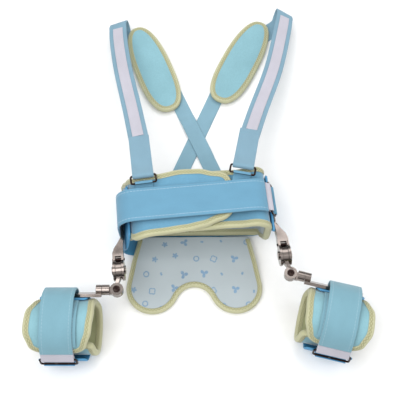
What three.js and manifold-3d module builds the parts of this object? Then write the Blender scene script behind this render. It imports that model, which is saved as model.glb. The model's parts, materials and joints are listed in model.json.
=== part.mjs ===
// A small child's hip abduction brace, lying on its back: a padded waist band with a seat pad and a
// shoulder harness, and two thigh cuffs held out to the sides by jointed steel hip irons.
// Millimetres. +Z is up from the surface it lies on, +Y points to the head, and +X to the right as seen
// from above; left and right in the pieces' names are as seen from above too.
// The origin is on the resting face of the back shell, in the plane midway between the hip irons.

import * as THREE from 'three';
import Module from 'manifold-3d';
import { mergeVertices } from 'three/addons/utils/BufferGeometryUtils.js';

const wasm = await Module();
wasm.setup();

// Cloth, padding and fits
const clearance = 0.3;
const shell_wall = 3;
const pad_wall = 6;
const binding_wall = 1;
const binding_leg = 7;
const strap_wall = 2.5;
const harness_wall = 2;
const tape_wall = 1.6;
const tab_wall = 1.2;
const wire = 2.5;
const wire_bend = 2;
const binding_out = binding_wall + clearance;
const pad_gap = binding_out + clearance;
const binding_slack = 0.6;

// Waist band, a loop seen in section across the body
const waist_depth = 106;
const back_left = -109;
const back_right = 94.5;
const front_left = -84.5;
const front_right = 95;
const back_radius = 24;
const front_radius = 26;
const shell_high = 36;
const shell_reach = 0.183;
const panel_under = -0.045;
const panel_over = 1.072;
const waist_strap_width = 44;
const waist_strap_y = -1.5;
const waist_strap_lift = 0.3;
const waist_strap_foot = 44;
const waist_strap_bend = 22;
const waist_tape_width = 38;
const waist_ring_low = waist_depth - front_radius - 0.5;

// Seat pad, in its own frame: p across and q down from its seam
const seat_turn = 5;
const seat_x = -5.5;
const seat_y = -12.5;
const seat_top = 74;
const seat_edge = 1.4;
const lobe_radius = 34;
const lobe_spread = 55;
const lobe_drop = 72.5;
const notch_slope = 4.7;
const notch_radius = lobe_spread - lobe_radius + notch_slope;
const seat_step_start = 36;
const seat_step_end = 60;
const binding_from = 3;
const seat_hump = 3.4;
const seat_puff = 0.5;

// Shoulder harness
const harness_width = 27;
const stripe_width = 15;
const stripe_wall = 0.8;
const ring_rise = 13;
const ring_lift = 3;
const ring_z = waist_depth + ring_lift;
const ring_tab_length = 20;
const ring_tab_width = 22;
const fold_back = 70;
const fold_height = 24.4;
const back_strap_width = 22.5;
const pad_length = 158;
const pad_width = 55;
const pad_taper = 0.08;
const pad_round = 0.8;
const harness = [
  { name: 'left', ring_x: -64.7, ring_y: 36.5, land_x: -84, land_y: 336, hem_x: -66, hem_y: 300,
    pad_x: -42, pad_y: 266, pad_turn: 15.5,
    tail_x: -14, tail_y: 223, end_x: 45, end_y: 43, over: 1 },
  { name: 'right', ring_x: 62.7, ring_y: 37.5, land_x: 158, land_y: 330, hem_x: 120, hem_y: 306,
    pad_x: 92, pad_y: 266, pad_turn: -31,
    tail_x: 55, tail_y: 222, end_x: -40, end_y: 43, over: 0 },
];

// Middle of each shoulder strap as it falls from the chest to the crest behind the shoulder
const shoulder_rows = [
  { z: 91, left_x: -67.4, left_y: 97.6, right_x: 77, right_y: 88 },
  { z: 68, left_x: -74.5, left_y: 158.2, right_x: 97.7, right_y: 140.3 },
  { z: 47, left_x: -85.6, left_y: 244, right_x: 132.9, right_y: 222 },
  { z: 28, left_x: -90.5, left_y: 311, right_x: 162, right_y: 311 },
  { z: fold_height, left_x: -90.5, left_y: 336, right_x: 168, right_y: 332 },
];

// Hip irons, in a frame at the flexion pivot: x outwards, y to the head, z up
const pivot_x = 105.2;
const pivot_y = -69.1;
const pivot_z = 60;
const iron_wall = 2.5;
const iron_width = 14;
const iron_inset = 6.9;
const iron_top = 94;
const iron_bend = 43;
const fork_wall = 3;
const fork_gap = 8;
const fork_base = 17;
const fork_web = 5;
const fork_width = 12;
const cheek_radius = 13.5;
const hub_radius = 12;
const pin_radius = 3;
const pin_head = 5.5;
const pin_head_wall = 1.5;
const stop_radius = 1.8;
const stop_y = 14.4;
const arm_wall = 4.6;
const eye_x = 4;
const eye_y = -25.2;
const eye_radius = 8.3;
const eye_low = -2;
const eye_high = 4;
const screw_radius = 2.5;
const screw_head = 4.3;
const screw_head_wall = 2.6;
const socket_radius = 2.3;
const socket_depth = 1.6;
const tang_radius = 8;
const tang_wall = 5;
const tang_width = 10;

// Stations of the upright's shank, from the fork's web to the strip
const shank_rows = [
  { y: fork_base + fork_web - 1, near: -fork_gap / 2 - fork_wall, far: fork_gap / 2 + fork_wall, high: 6 },
  { y: fork_base + fork_web + 5, near: -6.8, far: 5, high: 6.3 },
  { y: 35, near: -7.4, far: -0.6, high: 6.8 },
  { y: iron_bend, near: -iron_inset - iron_wall / 2, far: -iron_inset + iron_wall / 2, high: iron_width / 2 },
];

// Stations of the lower arm from its hub to its eye
const arm_rows = [
  { x: 0, y: -5, low: -5.5, high: 5.5 },
  { x: 1, y: -12, low: -5.5, high: 5.5 },
  { x: 2, y: -15, low: -3, high: 5 },
  { x: 3, y: -17, low: eye_low, high: eye_high },
  { x: 4, y: -22, low: eye_low, high: eye_high },
];

// Thigh piece, in a frame at the eye: x out along the thigh, y to the head side, z up
const barrel_radius = 6.5;
const barrel_start = 9.2;
const barrel_split = 18;
const barrel_end = 25.6;
const swivel_pin = 3;
const swivel_depth = 6;
const bar_wall = 4;
const bar_width = 12;
const bar_end = 92;
const cuff_radius = 40;
const cuff_y = -43.6;
const cuff_z = cuff_radius - pivot_z;
const cuff_shell_wall = 2.5;
const cuff_shell_near = 35;
const cuff_shell_far = 95;
const cuff_shell_start = 177;
const cuff_shell_end = 400;
const cuff_liner_start = 155;
const cuff_liner_end = 520;
const cuff_strap_x = 69;
const cuff_strap_width = 40;
const cuff_strap_end = 153;
const cuff_ring_angle = 170;
const cuff_ring_spread = 17;
const cuff_tape_end = 138;
const cuff_tail_shift = -4;
const thighs = [
  { name: 'left', side: -1, down: -5.5 },
  { name: 'right', side: 1, down: 19 },
];

// Edges of the cuff's padded wrap by angle round the thigh, 90 at the front and 270 at the back
const cuff_rows = [
  { at: 155, near: 27, far: 86 },
  { at: 230, near: 23, far: 89 },
  { at: 330, near: 23, far: 89 },
  { at: 375, near: 27, far: 91 },
  { at: 400, near: 27, far: 101 },
  { at: 430, near: 26, far: 108 },
  { at: 470, near: 28, far: 109 },
  { at: 503, near: 34, far: 103 },
  { at: 520, near: 40, far: 94 },
];

// Middle radius of the cuff strap by angle, bulging over the thigh bar
const cuff_strap_rows = [
  { at: -30, radius: 41.6 },
  { at: -5, radius: 43 },
  { at: 26, radius: 50 },
  { at: 42, radius: 49.5 },
  { at: 90, radius: 41.6 },
  { at: cuff_strap_end, radius: 41 },
];

// Facet counts
const round_facets = 14;
const small_facets = 8;
const bend_facets = 6;
const station_gap = 20;
const cuff_facets = 22;
const wire_facets = 6;

const cloth = (color) => new THREE.MeshStandardMaterial({ color, roughness: 0.95, metalness: 0 });
const metal = (color, roughness) => new THREE.MeshStandardMaterial({ color, roughness, metalness: 1 });
const finishes = {
  waist_blue: cloth(0x76b2d6),
  shell_blue: cloth(0x3f86b8),
  strap_blue: cloth(0x8abbd0),
  pad_teal: cloth(0x8cc6d6),
  lining: cloth(0xc8d5de),
  binding: cloth(0xdedba6),
  hook_tape: cloth(0xd3d2df),
  wire: metal(0x3a2c28, 0.35),
  steel: metal(0xc8bdb8, 0.25),
};

const radians = THREE.MathUtils.degToRad;
const lerp = THREE.MathUtils.lerp;
const smooth = THREE.MathUtils.smoothstep;
const vec = (x, y, z) => new THREE.Vector3(x, y, z);
const steps = (count) => Array.from({ length: count + 1 }, (_, i) => i / count);

// A value read between the rows of a table, with level tangents at each row
function fromTable(rows, column, at) {
  const last = rows.length - 1;
  if (at <= rows[0].at) return rows[0][column];
  if (at >= rows[last].at) return rows[last][column];
  const i = rows.findIndex((row) => row.at >= at) - 1;
  const part = smooth(at, rows[i].at, rows[i + 1].at);
  return lerp(rows[i][column], rows[i + 1][column], part);
}

function signedVolume(positions, index) {
  let volume = 0;
  for (let i = 0; i < index.length; i += 3) {
    const [a, b, c] = [0, 1, 2].map((k) => vec(...positions.slice(3 * index[i + k], 3 * index[i + k] + 3)));
    volume += a.dot(b.cross(c)) / 6;
  }
  return volume;
}

// One closed body from points and triangles, turned so that its faces point out
function bodyFrom(positions, index) {
  if (signedVolume(positions, index) < 0) {
    for (let i = 0; i < index.length; i += 3) [index[i], index[i + 1]] = [index[i + 1], index[i]];
  }
  const geometry = new THREE.BufferGeometry();
  geometry.setAttribute('position', new THREE.Float32BufferAttribute(positions, 3));
  geometry.setIndex(index);
  geometry.computeVertexNormals();
  return geometry;
}

// A skin over a row of rings with the same number of points, closed by caps or joined end to end
function loft(rings, joined = false) {
  const size = rings[0].length;
  const positions = rings.flat().flatMap((point) => [point.x, point.y, point.z]);
  const index = [];
  const spans = joined ? rings.length : rings.length - 1;
  for (let i = 0; i < spans; i += 1) {
    const here = i * size;
    const next = ((i + 1) % rings.length) * size;
    for (let j = 0; j < size; j += 1) {
      const k = (j + 1) % size;
      index.push(here + j, here + k, next + k, here + j, next + k, next + j);
    }
  }
  if (!joined) {
    const end = (rings.length - 1) * size;
    for (let j = 1; j < size - 1; j += 1) {
      index.push(0, j + 1, j, end, end + j, end + j + 1);
    }
  }
  return bodyFrom(positions, index);
}

// A strap along a path: each stop has its centre and the direction across the strap
function ribbon(stops, width, wall) {
  const rings = stops.map((stop, i) => {
    const before = stops[Math.max(i - 1, 0)].centre;
    const after = stops[Math.min(i + 1, stops.length - 1)].centre;
    const along = after.clone().sub(before).normalize();
    const up = stop.across.clone().cross(along).normalize().multiplyScalar(wall / 2);
    const across = stop.across.clone().normalize().multiplyScalar(width / 2);
    return [
      stop.centre.clone().add(across).add(up),
      stop.centre.clone().sub(across).add(up),
      stop.centre.clone().sub(across).sub(up),
      stop.centre.clone().add(across).sub(up),
    ];
  });
  return loft(rings);
}

// Bias binding folded over the edge of a pad: each stop has the edge's point, the way out of the pad
// and the pad's face direction
function edgeBinding(stops, wall = pad_wall, joined = true) {
  const inner = wall / 2 + clearance;
  const outer = inner + binding_wall;
  const profile = [
    [-binding_leg, outer], [binding_out, outer], [binding_out, -outer], [-binding_leg, -outer],
    [-binding_leg, -inner], [clearance, -inner], [clearance, inner], [-binding_leg, inner],
  ];
  const rings = stops.map(({ point, out, face }) => profile.map(([o, f]) => (
    point.clone().addScaledVector(out, o).addScaledVector(face, f)
  )));
  return loft(rings, joined);
}

// A wire bent to a rectangle with round corners: centre, and the half sizes of its middle line
function wireRing(centre, long, short, halfLong, halfShort) {
  const face = long.clone().cross(short).normalize();
  const stops = [];
  for (const [a, b, start] of [[1, 1, 0], [-1, 1, 90], [-1, -1, 180], [1, -1, 270]]) {
    for (const turn of [0, 90]) {
      const angle = radians(start + turn);
      const out = long.clone().multiplyScalar(Math.cos(angle)).addScaledVector(short, Math.sin(angle));
      const middle = centre.clone().addScaledVector(long, a * (halfLong - wire_bend))
        .addScaledVector(short, b * (halfShort - wire_bend));
      stops.push({ middle: middle.addScaledVector(out, wire_bend), out });
    }
  }
  const rings = stops.map(({ middle, out }) => steps(wire_facets).slice(1).map((share) => {
    const angle = 2 * Math.PI * share;
    return middle.clone().addScaledVector(out, (wire / 2) * Math.cos(angle))
      .addScaledVector(face, (wire / 2) * Math.sin(angle));
  }));
  return loft(rings, true);
}

// Half length of a ring's middle line for the width of what it carries
const ringHalf = (width) => width / 2 + clearance + wire_bend;

// Solids joined and cut
function solid(geometry) {
  const bare = geometry.clone();
  bare.deleteAttribute('normal');
  bare.deleteAttribute('uv');
  const merged = mergeVertices(bare, 1e-4);
  return new wasm.Manifold(new wasm.Mesh({
    numProp: 3,
    vertProperties: new Float32Array(merged.attributes.position.array),
    triVerts: new Uint32Array(merged.index.array),
  }));
}

function geometryOf(manifold) {
  const mesh = manifold.getMesh();
  return bodyFrom(Array.from(mesh.vertProperties), Array.from(mesh.triVerts));
}

function joined(parts) {
  return parts.map(solid).reduce((sum, part) => sum.add(part));
}

function box(x0, x1, y0, y1, z0, z1) {
  const geometry = new THREE.BoxGeometry(x1 - x0, y1 - y0, z1 - z0);
  return geometry.translate((x0 + x1) / 2, (y0 + y1) / 2, (z0 + z1) / 2);
}

// A cylinder with its axis along x or z
function rod(axis, radius, from, to, a = 0, b = 0, facets = round_facets) {
  const geometry = new THREE.CylinderGeometry(radius, radius, to - from, facets);
  const middle = (from + to) / 2;
  if (axis === 'x') return geometry.rotateZ(Math.PI / 2).translate(middle, a, b);
  return geometry.rotateX(Math.PI / 2).translate(a, b, middle);
}

// A geometry moved by a matrix, with its faces kept pointing out when the matrix mirrors it
function placed(geometry, matrix) {
  const moved = geometry.clone().applyMatrix4(matrix);
  return bodyFrom(Array.from(moved.attributes.position.array), Array.from(moved.index.array));
}

const part = new THREE.Group();
function add(name, geometry, finish) {
  const mesh = new THREE.Mesh(geometry, finishes[finish]);
  mesh.name = name;
  part.add(mesh);
}

// The waist loop: a four-sided outline with round corners, from the middle of the front to the
// wearer's left, round the back and home again
function roundedLoop(corners) {
  const samples = [];
  const first = corners[corners.length - 1];
  const start = { x: (first.x + corners[0].x) / 2, z: (first.z + corners[0].z) / 2 };
  corners.forEach((corner, i) => {
    const before = corners[(i + corners.length - 1) % corners.length];
    const after = corners[(i + 1) % corners.length];
    const u = new THREE.Vector2(before.x - corner.x, before.z - corner.z).normalize();
    const v = new THREE.Vector2(after.x - corner.x, after.z - corner.z).normalize();
    const half = Math.acos(u.dot(v)) / 2;
    const centre = u.clone().add(v).normalize().multiplyScalar(corner.radius / Math.sin(half));
    centre.add(new THREE.Vector2(corner.x, corner.z));
    const from = Math.atan2(-u.x, u.y);
    const sweep = Math.PI - 2 * half;
    for (const share of steps(bend_facets)) {
      const angle = from - sweep * share;
      const n = { x: Math.cos(angle), z: Math.sin(angle) };
      const [x, z] = [centre.x + corner.radius * n.x, centre.y + corner.radius * n.z];
      samples.push({ x, z, nx: n.x, nz: n.z });
    }
  });
  samples.unshift({ ...start, nx: samples[0].nx, nz: samples[0].nz });
  samples.push({ ...samples[0] });
  for (let i = samples.length - 1; i > 0; i -= 1) {
    const [a, b] = [samples[i - 1], samples[i]];
    const parts = Math.ceil(Math.hypot(a.x - b.x, a.z - b.z) / station_gap);
    const shares = steps(parts).slice(1, -1);
    samples.splice(i, 0, ...shares.map((t) => ({ ...a, x: lerp(a.x, b.x, t), z: lerp(a.z, b.z, t) })));
  }
  let total = 0;
  samples.forEach((sample, i) => {
    if (i) total += Math.hypot(sample.x - samples[i - 1].x, sample.z - samples[i - 1].z);
    sample.length = total;
  });
  const stations = samples.slice(0, -1).map((sample) => sample.length / total);
  const at = (share) => {
    const length = (share - Math.floor(share)) * total;
    const i = Math.max(samples.findIndex((sample) => sample.length >= length), 1);
    const [a, b] = [samples[i - 1], samples[i]];
    const t = (length - a.length) / (b.length - a.length);
    const normal = new THREE.Vector2(lerp(a.nx, b.nx, t), lerp(a.nz, b.nz, t)).normalize();
    return { x: lerp(a.x, b.x, t), z: lerp(a.z, b.z, t), nx: normal.x, nz: normal.y };
  };
  const between = (from, to) => {
    const all = [-1, 0, 1].flatMap((turn) => stations.map((share) => share + turn));
    const near = 0.003;
    return [from, ...all.filter((share) => share > from + near && share < to - near), to];
  };
  return { at, between };
}

const waist = roundedLoop([
  { x: front_right, z: waist_depth, radius: front_radius },
  { x: back_right, z: 0, radius: back_radius },
  { x: back_left, z: 0, radius: back_radius },
  { x: front_left, z: waist_depth, radius: front_radius },
]);

// A point on the waist loop moved out by offset, at height y, and the directions there
function waistPoint(share, offset, y) {
  const on = waist.at(share);
  return vec(on.x + on.nx * offset, y, on.z + on.nz * offset);
}
function waistFace(share) {
  const on = waist.at(share);
  return vec(on.nx, 0, on.nz);
}

const seamAt = (x) => seat_y - Math.tan(radians(seat_turn)) * (x - seat_x);

// Low edge of the back shell, share of the way round and height along the body
const shell_rows = [
  { at: shell_reach, low: -44 },
  { at: 0.24, low: -30 },
  { at: 0.31, low: -18 },
  { at: 0.45, low: -14 },
  { at: 0.56, low: -31 },
  { at: 0.69, low: -31 },
  { at: 0.71, low: -34 },
  { at: 0.77, low: -42 },
  { at: 1 - shell_reach, low: -36 },
];

// Low and high edges of the padded liner; along the seat pad its low edge follows the seam
const liner_rows = [
  { at: panel_under, low: -36, high: 44 },
  { at: 0.056, low: -36, high: 42 },
  { at: 0.1, low: -38, high: 40 },
  { at: 0.16, low: -41, high: 41 },
  { at: 0.24, low: -40, high: 52 },
  { at: 0.33, low: -24, high: 66 },
  { at: 0.36, low: -30, high: 68 },
  { at: 0.64, low: -30, high: 70 },
  { at: 0.67, low: -5, high: 68 },
  { at: 0.72, low: -14, high: 62 },
  { at: 0.77, low: -30, high: 52 },
  { at: 0.84, low: -43, high: 40 },
  { at: 0.9, low: -41, high: 40 },
  { at: 0.96, low: -39, high: 44 },
  { at: 1.0, low: -36, high: 43 },
  { at: 1.04, low: -29, high: 37 },
  { at: panel_over, low: -22, high: 33 },
];

const liner_offset = -(shell_wall + pad_gap + pad_wall / 2);
const panel_drop = pad_wall + 2 * binding_out + clearance;
function linerOffset(share) {
  return liner_offset - panel_drop * (1 - smooth(share, 0.06, 0.16));
}
const onSeat = (share) => share > 0.32 && share < 0.67;
function linerLow(share) {
  const low = fromTable(liner_rows, 'low', share);
  return onSeat(share) ? Math.max(low, seamAt(waist.at(share).x) + pad_gap + binding_slack) : low;
}
const linerHigh = (share) => fromTable(liner_rows, 'high', share);

// A band on the waist loop between two offsets
function waistBand(shares, inside, outside, low, high) {
  return loft(shares.map((share) => [
    waistPoint(share, outside(share), high(share)),
    waistPoint(share, outside(share), low(share)),
    waistPoint(share, inside(share), low(share)),
    waistPoint(share, inside(share), high(share)),
  ]));
}

function makeWaist() {
  add('back_shell', waistBand(waist.between(shell_reach, 1 - shell_reach), () => -shell_wall, () => 0,
    (share) => fromTable(shell_rows, 'low', share), () => shell_high), 'shell_blue');

  const linerShares = waist.between(panel_under, panel_over);
  add('waist_liner', waistBand(linerShares, (share) => linerOffset(share) - pad_wall / 2,
    (share) => linerOffset(share) + pad_wall / 2, linerLow, linerHigh), 'waist_blue');

  const edge = (share, height, out) => ({
    point: waistPoint(share, linerOffset(share), height).addScaledVector(out, binding_slack),
    out,
    face: waistFace(share),
  });
  const ends = [0.25, 0.5, 0.75];
  const middle = (share) => waistPoint(share, linerOffset(share), 0);
  const alongEnd = (share, sign) => {
    const way = middle(share + 0.001).sub(middle(share - 0.001));
    return way.normalize().multiplyScalar(sign);
  };
  const acrossEnd = (share, sign, from, to) => ends.map((t) => (
    edge(share, lerp(from(share), to(share), t), alongEnd(share, sign))
  ));
  const corner = (share, height, sign, up) => {
    const out = alongEnd(share, sign).addScaledVector(vec(0, 1, 0), up).normalize();
    return edge(share, height, out);
  };
  const stops = [
    corner(panel_under, linerLow(panel_under), -1, -1),
    ...linerShares.slice(1, -1).map((share) => edge(share, linerLow(share), vec(0, -1, 0))),
    corner(panel_over, linerLow(panel_over), 1, -1),
    ...acrossEnd(panel_over, 1, linerLow, linerHigh),
    corner(panel_over, linerHigh(panel_over), 1, 1),
    ...linerShares.slice(1, -1).reverse().map((share) => edge(share, linerHigh(share), vec(0, 1, 0))),
    corner(panel_under, linerHigh(panel_under), -1, 1),
    ...acrossEnd(panel_under, -1, linerHigh, linerLow),
  ];
  add('waist_binding', edgeBinding(stops), 'binding');
}

// A tape folded round a bar: it comes from one side, turns round and goes back
const barFold = (bar, from, turns, radius) => turns.map((turn) => {
  const angle = radians(from + turn);
  return vec(bar.x + radius * Math.cos(angle), bar.y, bar.z + radius * Math.sin(angle));
});
const alongY = (points) => points.map((centre) => ({ centre, across: vec(0, 1, 0) }));

function makeWaistClosure() {
  const y = waist_strap_y;
  const corner = { x: front_right - front_radius, z: waist_depth - front_radius };
  const onCorner = (radius, angle) => vec(
    corner.x + radius * Math.cos(radians(angle)), y, corner.z + radius * Math.sin(radians(angle)),
  );
  const reach = front_radius + waist_strap_lift;
  const left = pivot_x - iron_inset + iron_wall / 2 + clearance + strap_wall / 2;
  const bend = vec(waist_strap_bend - left, y, corner.z + reach - waist_strap_bend);
  const strap = [
    vec(-left, y, waist_strap_foot),
    vec(-left, y, pivot_z),
    ...steps(6).map((t) => {
      const angle = Math.PI * (1 - t / 2);
      return vec(bend.x + waist_strap_bend * Math.cos(angle), y, bend.z + waist_strap_bend * Math.sin(angle));
    }),
    vec(0, y, corner.z + reach),
    ...[90, 75, 60, 45].map((angle) => onCorner(reach, angle)),
  ];
  add('waist_strap', ribbon(alongY(strap), waist_strap_width, strap_wall), 'waist_blue');

  const fold = wire / 2 + clearance + tape_wall / 2;
  const inner = reach - strap_wall / 2 - clearance - tape_wall / 2;
  const bar = onCorner(inner + fold + clearance, 28);
  const tape = [
    onCorner(reach, 43), onCorner(reach, 38),
    ...barFold(bar, 28, [40, 0, -45, -90, -135, -180], fold),
    ...[42, 57, 72].map((angle) => onCorner(inner, angle)),
  ];
  add('waist_hook_tape', ribbon(alongY(tape), waist_tape_width, tape_wall), 'hook_tape');

  const tabFold = wire / 2 + clearance + tab_wall / 2;
  const low = vec(front_right + clearance + tab_wall / 2 + tabFold, y, waist_ring_low);
  const short = bar.clone().sub(low);
  const middle = bar.clone().add(low).multiplyScalar(0.5);
  add('waist_ring', wireRing(middle, vec(0, 1, 0), short.clone().normalize(),
    ringHalf(waist_tape_width), short.length() / 2), 'wire');
  const shell = low.x - tabFold;
  const tab = [
    vec(shell, y, pivot_z + iron_width / 2 + clearance),
    vec(shell, y, pivot_z + iron_width / 2 + 4),
    ...barFold(low, 180, [0, -45, -90, -135, -180], tabFold),
    vec(low.x, y, low.z - 6),
  ];
  add('waist_ring_tab', ribbon(alongY(tab), waist_tape_width, tab_wall), 'waist_blue');
}

// Half outline of the seat pad from its seam to the notch, by its own edge
function seatOutline() {
  const lobe = new THREE.Vector2(lobe_spread, lobe_drop);
  const start = new THREE.Vector2(seat_top, seat_edge);
  const reach = lobe.clone().sub(start);
  const aim = Math.atan2(reach.y, reach.x) - Math.asin(lobe_radius / reach.length());
  const tangent = Math.sqrt(reach.lengthSq() - lobe_radius ** 2);
  const sideWay = new THREE.Vector2(Math.cos(aim), Math.sin(aim));
  const side = (t) => start.clone().addScaledVector(sideWay, tangent * t);
  const sideAt = (q) => (q - start.y) / (tangent * Math.sin(aim));
  const notch_q = lobe_drop + Math.sqrt((lobe_radius + notch_radius) ** 2 - lobe_spread ** 2);
  const join = Math.atan2(notch_q - lobe_drop, -lobe_spread);
  const points = [];
  const put = (point, out) => points.push({ p: point.x, q: point.y, out });
  const sideOut = new THREE.Vector2(Math.sin(aim), -Math.cos(aim));
  for (const q of [binding_from, seat_step_start, seat_step_end]) put(side(sideAt(q)), sideOut);
  const from = aim - Math.PI / 2;
  for (const t of steps(11)) {
    const angle = lerp(from, join, t);
    const out = new THREE.Vector2(Math.cos(angle), Math.sin(angle));
    put(lobe.clone().addScaledVector(out, lobe_radius), out);
  }
  const open = Math.atan2(lobe_drop - notch_q, lobe_spread);
  for (const t of steps(4).slice(1)) {
    const angle = lerp(open, -Math.PI / 2, t);
    const out = new THREE.Vector2(-Math.cos(angle), -Math.sin(angle));
    put(new THREE.Vector2(0, notch_q).addScaledVector(out, -notch_radius), out);
  }
  const sideQ = (p) => side((p - start.x) / (tangent * Math.cos(aim))).y;
  const sideP = (q) => side(sideAt(q)).x;
  return { points, sideQ, sideP, notch_q, lobe_start: side(1).x };
}

function makeSeat() {
  const outline = seatOutline();
  const turn = radians(-seat_turn);
  const under = binding_out + seat_puff + clearance;
  const over = shell_wall + pad_gap + seat_puff;
  const lie = (q) => {
    if (q < seat_step_start) return over + seat_hump * (q / seat_step_start);
    const t = Math.min((q - seat_step_start) / (seat_step_end - seat_step_start), 1);
    return lerp(over + seat_hump, under, t);
  };
  const at = (p, q, lift) => {
    const x = seat_x + p * Math.cos(turn) + q * Math.sin(turn);
    return vec(x, seat_y + p * Math.sin(turn) - q * Math.cos(turn), lie(q) + lift);
  };
  const join = lobe_spread * notch_radius / (lobe_radius + notch_radius);
  const lobe = (p) => Math.sqrt(Math.max(lobe_radius ** 2 - (p - lobe_spread) ** 2, 0));
  const notch = (p) => outline.notch_q - Math.sqrt(notch_radius ** 2 - p ** 2);
  const low = (p) => (p < join ? notch(p) : lobe_drop + lobe(p));
  const high = (p) => {
    if (p <= seat_top) return seat_edge;
    return p < outline.lobe_start ? outline.sideQ(p) : lobe_drop - lobe(p);
  };
  const bends = [seat_step_start, seat_step_end].map(outline.sideP);
  const inNotch = [0, 0.32, 0.6, 0.8, 0.93].map((t) => t * join);
  const inLobe = [0, 0.04, 0.12, 0.25, 0.41, 0.63, 0.84].map((t) => lerp(join, seat_top, t));
  const half = [...inNotch, ...inLobe, seat_top, ...bends, lobe_spread + lobe_radius - 0.8];
  const columns = [...half.slice(1).reverse().map((p) => -p), ...half];
  add('seat_pad', loft(columns.map((p) => {
    const [top, end] = [high(Math.abs(p)), low(Math.abs(p))];
    const rows = [top, seat_step_start, seat_step_end].map((q, i) => Math.max(q, top + 0.4 * i));
    rows.push(Math.max(end, rows[2] + 0.4));
    return [...rows.map((q) => at(p, q, pad_wall)), ...rows.reverse().map((q) => at(p, q, 0))];
  })), 'lining');

  const edge = ({ p, q, out }, side, slack = binding_slack) => {
    const away = new THREE.Vector2(side * out.x, out.y).normalize();
    const [ep, eq] = [side * p + slack * away.x, q + slack * away.y];
    const point = at(ep, eq, pad_wall / 2);
    const inside = at(ep - binding_leg * away.x, eq - binding_leg * away.y, pad_wall / 2);
    const rise = point.clone().sub(inside).normalize();
    return { point, out: rise, face: vec(0, 0, 1).addScaledVector(rise, -rise.z).normalize() };
  };
  const right = outline.points;
  const left = right.slice(0, -1).reverse();
  add('seat_pad_binding', edgeBinding([
    ...right.map((stop) => edge(stop, 1)), ...left.map((stop) => edge(stop, -1)),
  ], pad_wall + 2 * seat_puff, false), 'binding');
}

// Stops along a path, each turned across the way it runs over the ground
const heading = (from, to) => vec(to.x - from.x, to.y - from.y, 0).normalize();
const acrossOf = (way) => vec(way.y, -way.x, 0);
function pathStops(points) {
  return points.map((centre, i) => ({
    centre,
    across: acrossOf(heading(points[Math.max(i - 1, 0)], points[Math.min(i + 1, points.length - 1)])),
  }));
}

// The stops of a strap moved off its face
function raised(stops, by) {
  return stops.map((stop, i) => {
    const before = stops[Math.max(i - 1, 0)].centre;
    const along = stops[Math.min(i + 1, stops.length - 1)].centre.clone().sub(before);
    const up = stop.across.clone().cross(along).normalize();
    return { ...stop, centre: stop.centre.clone().addScaledVector(up, by) };
  });
}

function makeHarness(row) {
  const side = row.name;
  const bar = vec(row.ring_x, row.ring_y, ring_z);
  const rows = shoulder_rows.map((station) => vec(station[`${side}_x`], station[`${side}_y`], station.z));
  const way = rows[0].clone().sub(bar).normalize();
  const across = acrossOf(heading(bar, rows[0]));
  const up = across.clone().cross(way).normalize();
  const off = (s, h) => bar.clone().addScaledVector(way, s).addScaledVector(up, h);
  const fold = wire / 2 + clearance + harness_wall / 2;
  const apart = (harness_wall + clearance) / 2 + 0.05;

  const start = [off(16, -apart), off(40, -apart), off(fold_back - 3, -apart)];
  const curve = new THREE.CatmullRomCurve3([...start, ...rows], false, 'centripetal');
  const run = pathStops(curve.getPoints(16));
  const land = vec(row.land_x, row.land_y, 0);
  const hem = vec(row.hem_x, row.hem_y, 0);
  const back = acrossOf(heading(hem, land));
  run.forEach((stop, i) => {
    stop.across.lerp(back, 0.5 * smooth(i / (run.length - 1), 0.7, 1)).normalize();
  });
  const crest = rows[rows.length - 1];
  const table = harness_wall / 2 + 0.05;
  const bend = (fold_height - table) / 2;
  const last = run[run.length - 1];
  const turnBack = steps(7).slice(1).map((t) => {
    const centre = crest.clone().lerp(land, t);
    centre.addScaledVector(heading(rows[rows.length - 2], crest), bend * Math.sin(Math.PI * t));
    centre.z = table + bend * (1 + Math.cos(Math.PI * t));
    return { centre, across: last.across.clone().lerp(back, t).normalize() };
  });
  const hemStops = [0.5, 1].map((t) => {
    const centre = land.clone().lerp(hem, t);
    centre.z = table;
    return { centre, across: back };
  });
  const folded = [
    off(fold_back, apart), off(40, apart), off(16, apart), off(7, (apart + fold) / 2),
    ...[90, 135, 180, 225, 270].map((turn) => off(
      fold * Math.cos(radians(turn)), fold * Math.sin(radians(turn)),
    )),
    off(7, -(apart + fold) / 2),
  ].map((centre) => ({ centre, across }));
  add(`${side}_shoulder_strap`, ribbon([...folded, ...run, ...turnBack, ...hemStops],
    harness_width, harness_wall), 'strap_blue');

  const stripeLift = harness_wall / 2 + clearance + stripe_wall / 2;
  const from = fold_back + 2 * clearance;
  const reach = run.map((stop) => stop.centre.distanceTo(bar));
  const first = reach.findIndex((length) => length > from);
  const part = (from - reach[first - 1]) / (reach[first] - reach[first - 1]);
  const begin = {
    centre: run[first - 1].centre.clone().lerp(run[first].centre, part),
    across: run[first].across,
  };
  add(`${side}_strap_stripe`, ribbon(raised([begin, ...run.slice(first)], stripeLift).slice(0, -1),
    stripe_width, stripe_wall), 'hook_tape');

  const headway = heading(bar, rows[0]);
  const low = bar.clone().addScaledVector(headway, wire - ring_rise);
  add(`${side}_shoulder_ring`, wireRing(bar.clone().add(low).multiplyScalar(0.5), across, headway,
    ringHalf(harness_width), (ring_rise - wire) / 2), 'wire');
  const tabFold = wire / 2 + clearance + tab_wall / 2;
  const under = waist_depth - shell_wall - pad_gap + clearance + tab_wall / 2 + binding_out;
  const tab = [
    [-ring_tab_length, under - low.z], [-2.5, under - low.z],
    ...[-90, -45, 0, 45, 90, 135].map((turn) => [
      tabFold * Math.cos(radians(turn)), tabFold * Math.sin(radians(turn)),
    ]),
  ].map(([s, h]) => ({ centre: low.clone().addScaledVector(headway, s).add(vec(0, 0, h)), across }));
  add(`${side}_ring_tab`, ribbon(tab, ring_tab_width, tab_wall), 'waist_blue');
}

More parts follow.
